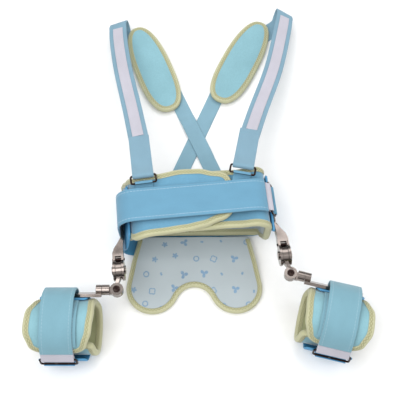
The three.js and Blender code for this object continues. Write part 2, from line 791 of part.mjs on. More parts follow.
function makeShoulderPad(row) {
  const turn = radians(row.pad_turn);
  const bottom = harness_wall + 0.1 + clearance + binding_out;
  const middle = vec(row.pad_x, row.pad_y, 0);
  const upright = vec(0, 0, 1);
  const outline = steps(26).slice(1).map((t) => {
    const angle = 2 * Math.PI * t;
    const [s, c] = [Math.sin(angle), Math.cos(angle)];
    const round = (value) => Math.sign(value) * Math.abs(value) ** pad_round;
    const x = (pad_width / 2) * round(s) * (1 - pad_taper * c);
    const y = (pad_length / 2) * round(c);
    return vec(x, y, 0).applyAxisAngle(upright, turn).add(middle);
  });
  const level = (z) => outline.map((point) => point.clone().setZ(z));
  add(`${row.name}_shoulder_pad`, loft([level(bottom), level(bottom + pad_wall)]), 'pad_teal');
  const stops = level(bottom + pad_wall / 2).map((point, i, all) => {
    const way = all[(i + 1) % all.length].clone().sub(all[(i + all.length - 1) % all.length]).normalize();
    return { point, out: vec(-way.y, way.x, 0), face: upright };
  });
  const outward = stops[0].point.clone().sub(middle).dot(stops[0].out) > 0;
  stops.forEach((stop) => stop.out.multiplyScalar(outward ? 1 : -1));
  add(`${row.name}_shoulder_pad_binding`, edgeBinding(stops), 'binding');
}

function makeBackStrap(row, other) {
  const table = harness_wall / 2;
  const start = vec(row.tail_x, row.tail_y, table);
  const end = vec(row.end_x, row.end_y, table);
  const way = end.clone().sub(start);
  const otherStart = vec(other.tail_x, other.tail_y, table);
  const otherWay = vec(other.end_x, other.end_y, table).sub(otherStart);
  const gap = otherStart.clone().sub(start);
  const crossing = (gap.x * otherWay.y - gap.y * otherWay.x) / (way.x * otherWay.y - way.y * otherWay.x);
  const flat = back_strap_width / way.length();
  const lift = row.over * (harness_wall + clearance);
  const stations = [
    [0, 0], [crossing - 1.9 * flat, 0], [crossing - 1.25 * flat, lift], [crossing, lift],
    [crossing + 1.25 * flat, lift], [crossing + 1.9 * flat, 0], [1, 0],
  ];
  const across = acrossOf(heading(start, end));
  add(`${row.name}_back_strap`, ribbon(stations.map(([t, height]) => ({
    centre: start.clone().lerp(end, t).add(vec(0, 0, height)), across,
  })), back_strap_width, harness_wall), 'strap_blue');
}

function ironFrame(side) {
  return new THREE.Matrix4().makeTranslation(side * pivot_x, pivot_y, pivot_z).scale(vec(side, 1, 1));
}

function makeIrons({ name, side }) {
  const frame = ironFrame(side);
  const put = (piece, geometry, finish) => add(`${name}_${piece}`, placed(geometry, frame), finish);
  const half = fork_gap / 2 + fork_wall;
  const top = fork_base + fork_web;
  const strip = ribbon([iron_top, iron_bend - 1].map((y) => (
    { centre: vec(-iron_inset, y, 0), across: vec(0, 0, 1) }
  )), iron_width, iron_wall);
  const shank = loft(shank_rows.map(({ y, near, far, high }) => [
    vec(near, y, -high), vec(far, y, -high), vec(far, y, high), vec(near, y, high),
  ]));
  const cheeks = [-1, 1].flatMap((way) => {
    const [near, far] = [way * fork_gap / 2, way * half].sort((a, b) => a - b);
    return [rod('x', cheek_radius, near, far), box(near, far, 0, top - 1, -fork_width / 2, fork_width / 2)];
  });
  const web = box(-half, half, fork_base, top, -fork_width / 2, fork_width / 2);
  const holes = [
    rod('x', pin_radius + clearance, -half - 2, half + 2, 0, 0, small_facets),
    rod('x', stop_radius + clearance, -half - 2, half + 2, stop_y, 0, small_facets),
  ];
  put('hip_upright', geometryOf(joined([strip, shank, web, ...cheeks]).subtract(joined(holes))), 'steel');

  const head = half + clearance;
  put('hinge_screw', geometryOf(joined([
    rod('x', pin_radius, -head - 0.5, head + 0.5, 0, 0, small_facets),
    rod('x', pin_head, head, head + pin_head_wall),
    rod('x', pin_head, -head - pin_head_wall, -head),
  ])), 'steel');
  put('stop_screw', rod('x', stop_radius, -half - 1, half + 1, stop_y, 0, small_facets), 'wire');

  const hubHalf = fork_gap / 2 - clearance;
  const arm = loft(arm_rows.map(({ x, y, low, high }) => [
    vec(x - arm_wall / 2, y, low), vec(x + arm_wall / 2, y, low),
    vec(x + arm_wall / 2, y, high), vec(x - arm_wall / 2, y, high),
  ]));
  const bored = [
    rod('x', pin_radius + clearance, -fork_gap, fork_gap, 0, 0, small_facets),
    rod('z', screw_radius + clearance, eye_low - 2, eye_high + 2, eye_x, eye_y, small_facets),
    rod('z', screw_head + clearance, eye_high - screw_head_wall - clearance, eye_high + 2, eye_x, eye_y),
  ];
  put('lower_arm', geometryOf(joined([
    rod('x', hub_radius, -hubHalf, hubHalf), arm, rod('z', eye_radius, eye_low, eye_high, eye_x, eye_y),
  ]).subtract(joined(bored))), 'steel');

  const tangLow = eye_low - clearance - tang_wall;
  const screw = joined([
    rod('z', screw_head, eye_high - screw_head_wall, eye_high, eye_x, eye_y),
    rod('z', screw_radius, tangLow, eye_high - 0.5, eye_x, eye_y, small_facets),
  ]).subtract(solid(rod('z', socket_radius, eye_high - socket_depth, eye_high + 2, eye_x, eye_y, 6)));
  put('abduction_screw', geometryOf(screw), 'wire');
}

function thighFrame({ side, down }) {
  return ironFrame(side)
    .multiply(new THREE.Matrix4().makeTranslation(eye_x, eye_y, 0))
    .multiply(new THREE.Matrix4().makeRotationZ(radians(-down)));
}

const onCuff = (x, radius, angle) => vec(
  x, cuff_y + radius * Math.cos(radians(angle)), cuff_z + radius * Math.sin(radians(angle)),
);
const outOfCuff = (angle) => vec(0, Math.cos(radians(angle)), Math.sin(radians(angle)));

function makeThigh(row) {
  const frame = thighFrame(row);
  const put = (piece, geometry, finish) => add(`${row.name}_${piece}`, placed(geometry, frame), finish);
  const tangHigh = eye_low - clearance;
  const tangLow = tangHigh - tang_wall;
  const barrel = joined([
    rod('z', tang_radius, tangLow, tangHigh),
    box(0, barrel_start + 1, -tang_width / 2, tang_width / 2, tangLow, tangHigh),
    rod('x', barrel_radius, barrel_start, barrel_split),
    rod('x', swivel_pin, barrel_split - 1, barrel_split + swivel_depth, 0, 0, small_facets),
  ]);
  put('swivel_barrel', geometryOf(barrel.subtract(
    solid(rod('z', screw_radius + clearance, tangLow - 2, tangHigh + 2, 0, 0, small_facets)),
  )), 'steel');

  const barRadius = cuff_radius + clearance + bar_wall / 2;
  const lean = Math.asin(-cuff_z / barRadius);
  const slab = new THREE.BoxGeometry(bar_end - bar_width / 2 - barrel_split - clearance, bar_wall, bar_width)
    .translate((bar_end - bar_width / 2 + barrel_split + clearance) / 2, 0, 0);
  const tip = new THREE.CylinderGeometry(bar_width / 2, bar_width / 2, bar_wall, round_facets)
    .translate(bar_end - bar_width / 2, 0, 0);
  const bar = [slab, tip].map((piece) => piece.rotateX(lean)
    .translate(0, cuff_y + barRadius * Math.cos(lean), cuff_z + barRadius * Math.sin(lean)));
  const start = barrel_split + clearance;
  const pinEnd = barrel_split + swivel_depth + clearance;
  put('thigh_bar', geometryOf(joined([...bar, rod('x', barrel_radius - 0.2, start, barrel_end)]).subtract(
    solid(rod('x', swivel_pin + clearance, start - 2, pinEnd, 0, 0, small_facets)),
  )), 'steel');

  makeCuff(put);
}

function makeCuff(put) {
  const inner = cuff_radius - cuff_shell_wall;
  put('cuff_shell', loft(steps(cuff_facets).map((t) => {
    const angle = lerp(cuff_shell_start, cuff_shell_end, t);
    return [
      onCuff(cuff_shell_near, cuff_radius, angle), onCuff(cuff_shell_far, cuff_radius, angle),
      onCuff(cuff_shell_far, inner, angle), onCuff(cuff_shell_near, inner, angle),
    ];
  })), 'shell_blue');

  const middle = inner - pad_gap - pad_wall / 2;
  const radiusAt = (angle) => middle - panel_drop * (1 - smooth(angle, 165, 230));
  const near = (angle) => fromTable(cuff_rows, 'near', angle);
  const far = (angle) => fromTable(cuff_rows, 'far', angle);
  const [first, last] = [cuff_liner_start, cuff_liner_end];
  const angles = steps(cuff_facets).map((t) => lerp(first, last, t));
  put('cuff_liner', loft(angles.map((angle) => {
    const [low, high] = [radiusAt(angle) - pad_wall / 2, radiusAt(angle) + pad_wall / 2];
    return [
      onCuff(near(angle), high, angle), onCuff(far(angle), high, angle),
      onCuff(far(angle), low, angle), onCuff(near(angle), low, angle),
    ];
  })), 'pad_teal');

  const edge = (x, angle, out, face = outOfCuff(angle)) => ({
    point: onCuff(x, radiusAt(angle), angle), out: out.normalize(), face,
  });
  const endEdge = (x, angle, into, slant = 0) => {
    const lie = angle + into * THREE.MathUtils.radToDeg(binding_leg / 2 / radiusAt(angle));
    const out = vec(slant, into * Math.sin(radians(lie)), -into * Math.cos(radians(lie))).normalize();
    const stop = edge(x, angle, out, outOfCuff(lie));
    stop.point.addScaledVector(out, binding_slack);
    return stop;
  };
  const run = angles.slice(1, -1);
  const ends = [0.25, 0.5, 0.75];
  put('cuff_binding', edgeBinding([
    endEdge(near(first), first, 1, -1),
    ...run.map((angle) => edge(near(angle), angle, vec(-1, 0, 0))),
    endEdge(near(last), last, -1, -1),
    ...ends.map((t) => endEdge(lerp(near(last), far(last), t), last, -1)),
    endEdge(far(last), last, -1, 1),
    ...run.slice().reverse().map((angle) => edge(far(angle), angle, vec(1, 0, 0))),
    endEdge(far(first), first, 1, 1),
    ...ends.map((t) => endEdge(lerp(far(first), near(first), t), first, 1)),
  ]), 'binding');
  makeCuffClosure(put);
}

function makeCuffClosure(put) {
  const x = cuff_strap_x;
  const across = vec(1, 0, 0);
  const strapRadius = (angle) => fromTable(cuff_strap_rows, 'radius', angle);
  const stop = (radius, angle, shift = 0) => ({ centre: onCuff(x + shift, radius, angle), across });
  const strapAngles = [-30, -17, -5, 5, 15, 26, 34, 42, 52, 64, 77, 90, 105, 120, 136, cuff_strap_end];
  put('cuff_strap', ribbon(strapAngles.map((angle) => stop(strapRadius(angle), angle)),
    cuff_strap_width, strap_wall), 'strap_blue');

  const front = strapRadius(cuff_strap_end);
  const inner = front - strap_wall / 2 - clearance - tape_wall / 2;
  const fold = wire / 2 + clearance + tape_wall / 2;
  const barAt = { radius: inner + fold, angle: cuff_ring_angle };
  const bar = onCuff(x, barAt.radius, barAt.angle);
  const roundBar = (centre, radius, from, turns) => turns.map((turn) => {
    const angle = radians(from + turn);
    return { centre: centre.clone().add(vec(0, radius * Math.cos(angle), radius * Math.sin(angle))), across };
  });
  put('cuff_hook_tape', ribbon([
    stop(front, cuff_strap_end + 1), stop(front, cuff_strap_end + 7),
    ...roundBar(bar, fold, barAt.angle, [0, 45, 90, 135, 180]),
    stop(inner, 160), stop(inner, 150), stop(inner, cuff_tape_end + 2),
  ], cuff_strap_width, tape_wall), 'hook_tape');
  const tail = steps(8).map((t) => lerp(cuff_tape_end + 1, 44, t));
  put('cuff_strap_tail', ribbon(tail.map((angle) => stop(inner, angle, cuff_tail_shift)),
    cuff_strap_width, tape_wall), 'strap_blue');

  const tabFold = wire / 2 + clearance + tab_wall / 2;
  const tabRadius = cuff_radius + clearance + tab_wall / 2;
  const lowAngle = cuff_ring_angle + cuff_ring_spread;
  const low = onCuff(x, tabRadius + tabFold, lowAngle);
  const short = bar.clone().sub(low);
  put('cuff_ring', wireRing(bar.clone().add(low).multiplyScalar(0.5), across, short.clone().normalize(),
    ringHalf(cuff_strap_width), short.length() / 2), 'wire');
  put('cuff_ring_tab', ribbon([
    stop(tabRadius, lowAngle + 26), stop(tabRadius, lowAngle + 14),
    stop(tabRadius, lowAngle + 5),
    ...roundBar(low, tabFold, lowAngle + 180, [0, -45, -90, -135, -180]),
    stop(tabRadius + 2 * tabFold - 0.6, lowAngle + 5),
  ], cuff_strap_width - 2, tab_wall), 'shell_blue');
}

makeWaist();
makeWaistClosure();
makeSeat();
for (const row of harness) makeHarness(row);
for (const row of harness) makeShoulderPad(row);
makeBackStrap(harness[0], harness[1]);
makeBackStrap(harness[1], harness[0]);
for (const row of thighs) makeIrons(row);
for (const row of thighs) makeThigh(row);

export default part;
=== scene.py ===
import json
from functools import partial

import bmesh
import bpy
import numpy as np
from bpy.props import FloatProperty, FloatVectorProperty, PointerProperty
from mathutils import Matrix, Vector

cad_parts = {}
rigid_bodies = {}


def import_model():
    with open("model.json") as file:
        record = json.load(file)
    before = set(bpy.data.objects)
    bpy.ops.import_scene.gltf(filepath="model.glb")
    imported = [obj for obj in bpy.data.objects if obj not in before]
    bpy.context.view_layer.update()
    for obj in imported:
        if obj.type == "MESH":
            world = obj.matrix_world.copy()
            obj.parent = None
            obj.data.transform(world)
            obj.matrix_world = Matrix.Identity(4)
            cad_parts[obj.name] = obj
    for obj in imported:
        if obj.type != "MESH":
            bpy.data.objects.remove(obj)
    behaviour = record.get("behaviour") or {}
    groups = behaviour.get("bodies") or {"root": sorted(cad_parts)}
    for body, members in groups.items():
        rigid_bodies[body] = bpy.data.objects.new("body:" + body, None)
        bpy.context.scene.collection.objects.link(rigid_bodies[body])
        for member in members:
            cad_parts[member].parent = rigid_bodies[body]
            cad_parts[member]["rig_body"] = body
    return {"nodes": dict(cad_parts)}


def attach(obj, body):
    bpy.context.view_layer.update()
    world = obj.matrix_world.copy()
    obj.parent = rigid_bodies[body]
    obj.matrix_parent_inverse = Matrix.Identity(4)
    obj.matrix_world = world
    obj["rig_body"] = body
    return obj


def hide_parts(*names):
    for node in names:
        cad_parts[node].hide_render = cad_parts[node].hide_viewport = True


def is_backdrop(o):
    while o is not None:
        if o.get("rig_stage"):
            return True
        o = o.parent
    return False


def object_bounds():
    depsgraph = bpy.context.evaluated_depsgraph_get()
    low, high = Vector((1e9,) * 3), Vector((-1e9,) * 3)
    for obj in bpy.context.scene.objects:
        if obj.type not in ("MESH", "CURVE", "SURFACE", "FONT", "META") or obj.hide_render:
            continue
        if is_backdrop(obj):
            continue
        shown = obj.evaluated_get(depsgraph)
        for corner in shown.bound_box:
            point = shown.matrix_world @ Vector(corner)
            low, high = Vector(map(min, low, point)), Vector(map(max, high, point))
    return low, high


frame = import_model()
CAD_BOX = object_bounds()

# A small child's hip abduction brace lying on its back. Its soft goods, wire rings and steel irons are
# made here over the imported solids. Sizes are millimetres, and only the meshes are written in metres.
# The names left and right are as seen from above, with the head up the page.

bl_info = {
    "name": "Hip abduction brace",
    "version": (1, 0, 0),
    "blender": (4, 5, 0),
    "location": "3D View > Sidebar > Brace",
    "description": "Builds a child's padded hip abduction brace with harness, irons and thigh cuffs",
    "category": "Object",
}

MM = 0.001

# Cloth, padding and fits, the same as the solids'
CLEARANCE = 0.3
SHELL_WALL = 3.0
PAD_WALL = 6.0
BINDING_WALL = 1.0
BINDING_STEP = 2.2
STRAP_WALL = 2.5
HARNESS_WALL = 2.0
TAPE_WALL = 1.6
TAB_WALL = 1.2
WIRE = 2.5
WIRE_BEND = 2.0
PAD_GAP = BINDING_WALL + 2 * CLEARANCE
PANEL_DROP = PAD_WALL + 2 * (BINDING_WALL + CLEARANCE) + CLEARANCE

# Waist band: corners of the loop in section as x, z and radius, and its edges by share of the way round
WAIST_DEPTH, FRONT_RIGHT, FRONT_RADIUS = 106, 95, 26
WAIST_CORNERS = ((FRONT_RIGHT, WAIST_DEPTH, FRONT_RADIUS), (94.5, 0, 24), (-109, 0, 24),
                 (-84.5, WAIST_DEPTH, FRONT_RADIUS))
SHELL_REACH = 0.183
SHELL_HIGH = 36
SHELL_CORNER, LINER_CORNER, CUFF_CORNER = 6, 10, 7
PANEL_UNDER, PANEL_OVER = -0.045, 1.072
PANEL_RISE = (0.06, 0.16)
SEAM_SHARES, SEAM_SLACK = (0.32, 0.67), 0.6
SHELL_ROWS = np.array([
    # share, low
    (SHELL_REACH, -44), (0.24, -30), (0.31, -18), (0.45, -14), (0.56, -31),
    (0.69, -31), (0.71, -34), (0.77, -42), (1 - SHELL_REACH, -36),
])
LINER_ROWS = np.array([
    # share, low, high
    (PANEL_UNDER, -36, 44), (0.056, -36, 42), (0.1, -38, 40), (0.16, -41, 41), (0.24, -40, 52),
    (0.33, -24, 66), (0.36, -30, 68), (0.64, -30, 70), (0.67, -5, 68), (0.72, -14, 62),
    (0.77, -30, 52), (0.84, -43, 40), (0.9, -41, 40), (0.96, -39, 44), (1.0, -36, 43),
    (1.04, -29, 37), (PANEL_OVER, -22, 33),
])
WAIST_STRAP_Y = -1.5
WAIST_STRAP_WIDTH = 44
WAIST_STRAP_LIFT, WAIST_STRAP_FOOT, WAIST_STRAP_BEND = 0.3, 44, 22
WAIST_RING_ANGLE, WAIST_RING_LOW = 28, 79.5
WAIST_TAPE_WIDTH = 38

# Seat pad: turn and place of its seam, and the two lobes with the notch between them
SEAT_TURN, SEAT_X, SEAT_Y = 5, -5.5, -12.5
SEAT_TOP, SEAT_EDGE = 74, 1.4
LOBE_RADIUS, LOBE_SPREAD, LOBE_DROP, NOTCH_RADIUS = 34, 55, 72.5, 25.7
SEAT_STEP_START, SEAT_STEP_END, SEAT_HUMP, SEAT_PUFF = 36, 60, 3.4, 0.5
SEAT_EASE = (4, 6)

# Harness: per side the ring, the turn behind the shoulder, the hem, the pad and the strap at the back
HARNESS_WIDTH = 27
STRIPE_WIDTH, STRIPE_WALL = 15, 0.8
RING_Z, RING_RISE = WAIST_DEPTH + 3, 13
RING_TAB_LENGTH, RING_TAB_WIDTH = 20, 22
LOOSE = 0.05  # added to half the gap in a folded strap, and the straps' lift off the table
FOLD_BACK, FOLD_HEIGHT = 70, 24.4
BACK_STRAP_WIDTH = 22.5
SHOULDER_PAD = (158, 55, 0.08, 0.8)  # length, width, taper and roundness
HARNESS = {
    "left": dict(ring=(-64.7, 36.5), land=(-84, 336), hem=(-66, 300), pad=(-42, 266), turn=15.5,
                 tail=(-14, 223), end=(45, 43), over=1,
                 rows=((-67.4, 97.6, 91), (-74.5, 158.2, 68), (-85.6, 244, 47), (-90.5, 311, 28),
                       (-90.5, 336, FOLD_HEIGHT))),
    "right": dict(ring=(62.7, 37.5), land=(158, 330), hem=(120, 306), pad=(92, 266), turn=-31,
                  tail=(55, 222), end=(-40, 43), over=0,
                  rows=((77, 88, 91), (97.7, 140.3, 68), (132.9, 222, 47), (162, 311, 28),
                        (168, 332, FOLD_HEIGHT))),
}

# Hip irons and thigh cuffs
PIVOT = np.array((105.2, -69.1, 60.0))
EYE = np.array((4.0, -25.2, 0.0))
IRON_INSET, IRON_WALL, IRON_WIDTH = 6.9, 2.5, 14
CUFF_RADIUS, CUFF_Y, CUFF_Z = 40, -43.6, -20
CUFF_SHELL_WALL = 2.5
CUFF_SHELL = (35, 95, 177, 400)  # near and far edge, start and end angle
CUFF_WRAP, CUFF_RISE = (155, 520), (165, 230)
CUFF_ROWS = np.array([
    # angle, near, far
    (155, 27, 86), (230, 23, 89), (330, 23, 89), (375, 27, 91), (400, 27, 101),
    (430, 26, 108), (470, 28, 109), (503, 34, 103), (520, 40, 94),
])
CUFF_STRAP_ROWS = np.array([  # angle, radius
    (-30, 41.6), (-5, 43), (26, 50), (42, 49.5), (90, 41.6), (153, 41)])
CUFF_STRAP_X, CUFF_STRAP_WIDTH, CUFF_STRAP_END = 69, 40, 153
CUFF_RING_ANGLE, CUFF_RING_SPREAD, CUFF_TAPE_END, CUFF_TAIL_SHIFT = 170, 17, 138, -4
THIGHS = {"left": (-1, -5.5), "right": (1, 19)}  # sign of x, degrees down the page


# Numbers and directions

def unit(v):
    """Each vector divided by its length."""
    v = np.asarray(v, float)
    return v / np.maximum(np.linalg.norm(v, axis=-1, keepdims=True), 1e-9)


def smooth(t, start, end):
    """The smooth step 3t^2 - 2t^3 between start and end."""
    t = np.clip((np.asarray(t, float) - start) / (end - start), 0, 1)
    return t * t * (3 - 2 * t)


def eased(at, rows, column=1):
    """A table's column at the places `at`, with a smooth step from each row to the next."""
    at = np.clip(np.asarray(at, float), rows[0, 0], rows[-1, 0])
    i = np.clip(np.searchsorted(rows[:, 0], at, side="left") - 1, 0, len(rows) - 2)
    t = (at - rows[i, 0]) / (rows[i + 1, 0] - rows[i, 0])
    t = t * t * (3 - 2 * t)
    return rows[i, column] * (1 - t) + rows[i + 1, column] * t


def heading(start, end):
    """The level direction from start to end."""
    way = np.asarray(end, float) - np.asarray(start, float)
    return unit(np.append(way[:2], 0.0))


def across_of(way):
    """The level direction to the right of a way."""
    return np.array((way[1], -way[0], 0.0))


def lengths(points):
    """Length along a run of points, at each of them."""
    return np.append(0, np.cumsum(np.linalg.norm(np.diff(points, axis=0), axis=1)))


def at_length(a, length, table):
    """Rows of a table read at the lengths a, in step with the lengths of its rows."""
    return np.stack([np.interp(a, length, column) for column in np.transpose(table)], -1)


def wander(amount, pitch_a, pitch_b, phase=0.0):
    """Gentle waves in cloth: two sines of unlike pitch multiplied and added."""
    def rise(a, b):
        first = np.sin(2 * np.pi * a / pitch_a + phase + 0.8 * np.sin(2 * np.pi * b / pitch_b + phase))
        second = np.sin(2 * np.pi * (0.37 * a + b) / (0.83 * pitch_b) + 2.1 * phase)
        return amount * (0.6 * first + 0.4 * second)
    return rise


# Surfaces

def rounded_loop(corners, arc=15):
    """A four-sided loop with round corners: arcs on each corner joined by straight runs, as lengths along
    it, points and normals, from the middle of the front."""
    corners = np.array(corners, float)
    points, normals = [], []
    for i, (x, z, radius) in enumerate(corners):
        corner = np.array((x, z))
        u = unit(corners[i - 1, :2] - corner)
        v = unit(corners[(i + 1) % len(corners), :2] - corner)
        half = np.arccos(u @ v) / 2
        centre = corner + unit(u + v) * radius / np.sin(half)
        angle = np.arctan2(-u[0], u[1]) - (np.pi - 2 * half) * np.linspace(0, 1, arc)
        normal = np.stack([np.cos(angle), np.sin(angle)], 1)
        points.append(centre + radius * normal)
        normals.append(normal)
    points, normals = np.concatenate(points), np.concatenate(normals)
    start = (corners[-1, :2] + corners[0, :2]) / 2
    points = np.vstack([start, points, start])
    normals = np.vstack([normals[0], normals, normals[0]])
    return lengths(points), points, normals


LOOP_LENGTH, LOOP_POINTS, LOOP_NORMALS = rounded_loop(WAIST_CORNERS)
LOOP_TOTAL = LOOP_LENGTH[-1]


def on_loop(a):
    """Points x, z and normals of the waist loop at the lengths a, which may run past its ends."""
    a = np.mod(a, LOOP_TOTAL)
    found = at_length(a, LOOP_LENGTH, LOOP_POINTS)
    normal = unit(at_length(a, LOOP_LENGTH, LOOP_NORMALS))
    return found[..., 0], found[..., 1], normal[..., 0], normal[..., 1]


def waist_lay(base):
    """Places length a, height b and rise h on the waist loop: out along its normal by base(a) + h."""
    def lay(a, b, h):
        x, z, nx, nz = on_loop(a)
        off = base(a) + h
        return np.stack([x + nx * off, b + 0 * off, z + nz * off], -1)
    return lay


def liner_base(a):
    """Offset of the liner's middle from the loop: under the shell, and lower where its end goes under."""
    share = a / LOOP_TOTAL
    return -(SHELL_WALL + PAD_GAP + PAD_WALL / 2) - PANEL_DROP * (1 - smooth(share, *PANEL_RISE))


def seam_at(x):
    return SEAT_Y - np.tan(np.radians(SEAT_TURN)) * (x - SEAT_X)


def liner_low(a):
    """Low edge of the liner; along the seat pad it keeps above the pad's seam."""
    share = a / LOOP_TOTAL
    low = eased(share, LINER_ROWS, 1)
    seam = seam_at(on_loop(a)[0]) + PAD_GAP + SEAM_SLACK
    start, end = SEAM_SHARES
    return np.where((share > start) & (share < end), np.maximum(low, seam), low)


def liner_high(a):
    return eased(a / LOOP_TOTAL, LINER_ROWS, 2)


def seat_lie(q):
    """Height of the seat pad's underside at distance q from its seam: over the shell's edge, then down."""
    under = BINDING_WALL + 2 * CLEARANCE + SEAT_PUFF
    over = SHELL_WALL + PAD_GAP + SEAT_PUFF
    rise = over + SEAT_HUMP * np.clip(q / SEAT_STEP_START, None, 1)
    t = smooth(q, SEAT_STEP_START - SEAT_EASE[0], SEAT_STEP_END + SEAT_EASE[1])
    return rise * (1 - t) + under * t


def seat_lay(p, q, h):
    """Places p across and q down from the seam on the seat pad's middle, raised by h."""
    turn = np.radians(-SEAT_TURN)
    z = seat_lie(q) + PAD_WALL / 2 + h
    x = SEAT_X + p * np.cos(turn) + q * np.sin(turn)
    return np.stack([x + 0 * z, SEAT_Y + p * np.sin(turn) - q * np.cos(turn) + 0 * z, z], -1)


def seat_outline():
    """Outline of the seat pad below its seam: straight sides, two round lobes and a notch arc, tangent."""
    lobe, start = np.array((LOBE_SPREAD, LOBE_DROP)), np.array((SEAT_TOP, SEAT_EDGE))
    reach = lobe - start
    aim = np.arctan2(reach[1], reach[0]) - np.arcsin(LOBE_RADIUS / np.linalg.norm(reach))
    tangent = np.sqrt(reach @ reach - LOBE_RADIUS ** 2)
    side = start + np.linspace(0, 1, 24)[:-1, None] * tangent * np.array((np.cos(aim), np.sin(aim)))
    notch_q = LOBE_DROP + np.sqrt((LOBE_RADIUS + NOTCH_RADIUS) ** 2 - LOBE_SPREAD ** 2)
    join = np.arctan2(notch_q - LOBE_DROP, -LOBE_SPREAD)
    angle = np.linspace(aim - np.pi / 2, join, 60)
    round_lobe = lobe + LOBE_RADIUS * np.stack([np.cos(angle), np.sin(angle)], 1)
    angle = np.linspace(np.arctan2(LOBE_DROP - notch_q, LOBE_SPREAD), -np.pi / 2, 16)[1:]
    notch = np.array((0, notch_q)) + NOTCH_RADIUS * np.stack([np.cos(angle), np.sin(angle)], 1)
    half = np.vstack([side, round_lobe, notch])
    other = half[:-1][::-1] * (-1, 1)
    return np.vstack([half, other]), notch_q, side, aim


def flat_lay(middle, turn, level):
    """Places a along and b across on a level piece turned by `turn` degrees about its middle."""
    turn = np.radians(turn)

    def lay(a, b, h):
        x = middle[0] + b * np.cos(turn) - a * np.sin(turn)
        y = middle[1] + b * np.sin(turn) + a * np.cos(turn)
        return np.stack([x + 0 * h, y + 0 * h, level + h + 0 * x], -1)
    return lay


def through(stops, across=None, each=8):
    """A centripetal Catmull-Rom path through the stops, with `each` points a span; what goes across the
    path is carried from stop to stop along with it."""
    stops = np.asarray(stops, float)
    ends = np.vstack([2 * stops[0] - stops[1], stops, 2 * stops[-1] - stops[-2]])
    p0, p1, p2, p3 = (ends[k:len(ends) - 3 + k] for k in range(4))
    step = [np.sqrt(np.linalg.norm(b - a, axis=1))[:, None] for a, b in ((p0, p1), (p1, p2), (p2, p3))]
    d0, d1, d2 = (np.maximum(s, 1e-4) for s in step)
    m1 = ((p1 - p0) / d0 - (p2 - p0) / (d0 + d1) + (p2 - p1) / d1) * d1
    m2 = ((p2 - p1) / d1 - (p3 - p1) / (d1 + d2) + (p3 - p2) / d2) * d1
    t = (np.arange(each) / each)[None, :, None]
    p1, p2, m1, m2 = (v[:, None] for v in (p1, p2, m1, m2))
    path = ((2 * t**3 - 3 * t**2 + 1) * p1 + (t**3 - 2 * t**2 + t) * m1
            + (3 * t**2 - 2 * t**3) * p2 + (t**3 - t**2) * m2).reshape(-1, 3)
    path = np.vstack([path, stops[-1]])
    if across is None:
        return path
    across = np.broadcast_to(np.asarray(across, float), stops.shape)
    return path, unit(at_length(np.linspace(0, len(stops) - 1, len(path)), np.arange(len(stops)), across))


def path_lay(path, across):
    """Places a along a path, b across it and h off its face; returns the placing and the path's lengths."""
    length = lengths(path)
    up = unit(np.cross(across, np.gradient(path, axis=0)))

    def lay(a, b, h):
        centre, wide, rise = (at_length(a, length, table) for table in (path, across, up))
        return centre + wide * np.asarray(b)[..., None] + rise * np.asarray(h)[..., None]
    return lay, length


def bar_turn(centre, radius, start, turns, level):
    """Stops of a tape folded round a bar: an arc from the angle `start`, from `level` upwards."""
    angle = np.radians(np.add(start, turns))[:, None]
    return list(centre + radius * (np.cos(angle) * level + np.sin(angle) * (0, 0, 1)))


def on_cuff(x, radius, angle):
    """A point of the cuff in the thigh's frame, at an angle in degrees round the thigh."""
    x, radius, angle = np.broadcast_arrays(x, radius, np.radians(angle))
    return np.stack([x, CUFF_Y + radius * np.cos(angle), CUFF_Z + radius * np.sin(angle)], -1)


def thigh_place(side):
    """Moves points from the thigh's frame, at the eye, to the brace's: a turn down, mirrored by side."""
    way, down = THIGHS[side]
    turn = np.radians(-down)
    c, s = np.cos(turn), np.sin(turn)

    def place(points):
        x, y, z = points[..., 0], points[..., 1], points[..., 2]
        moved = np.stack([x * c - y * s, x * s + y * c, z], -1) + EYE
        return moved * (way, 1, 1) + PIVOT * (way, 1, 1)
    return place


# Meshes

def make_piece(name, points, faces, uv, nodes, slot, materials, inner=None):
    """A mesh from points in millimetres, face corners and their UVs in metres; turned to face outwards by
    the sign of its volume, put on the body of the nodes that it stands for."""
    faces, uv = np.asarray(faces), np.asarray(uv)
    a, b, c, d = (points[faces[:, k]] for k in range(4))
    volume = np.einsum("ij,ij->", a, np.cross(b, c)) + np.einsum("ij,ij->", a, np.cross(c, d))
    if volume < 0:
        faces, uv = faces[:, ::-1], uv[:, ::-1]
    mesh = bpy.data.meshes.new(name)
    mesh.from_pydata((points * MM).tolist(), [], faces.tolist())
    mesh.uv_layers.new(name="UVMap").data.foreach_set("uv", np.ascontiguousarray(uv, np.float32).ravel())
    for material in materials:
        mesh.materials.append(material)
    if inner is not None:
        mesh.polygons.foreach_set("material_index", np.asarray(inner, np.int32))
    mesh.shade_smooth()
    mesh.update()
    return stand_for(bpy.data.objects.new(name, mesh), nodes, slot)


def stand_for(piece, nodes, slot):
    """Shows a piece in place of its CAD nodes, on their body."""
    bpy.context.scene.collection.objects.link(piece)
    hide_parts(*nodes)
    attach(piece, frame["nodes"][nodes[0]]["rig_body"])
    return piece


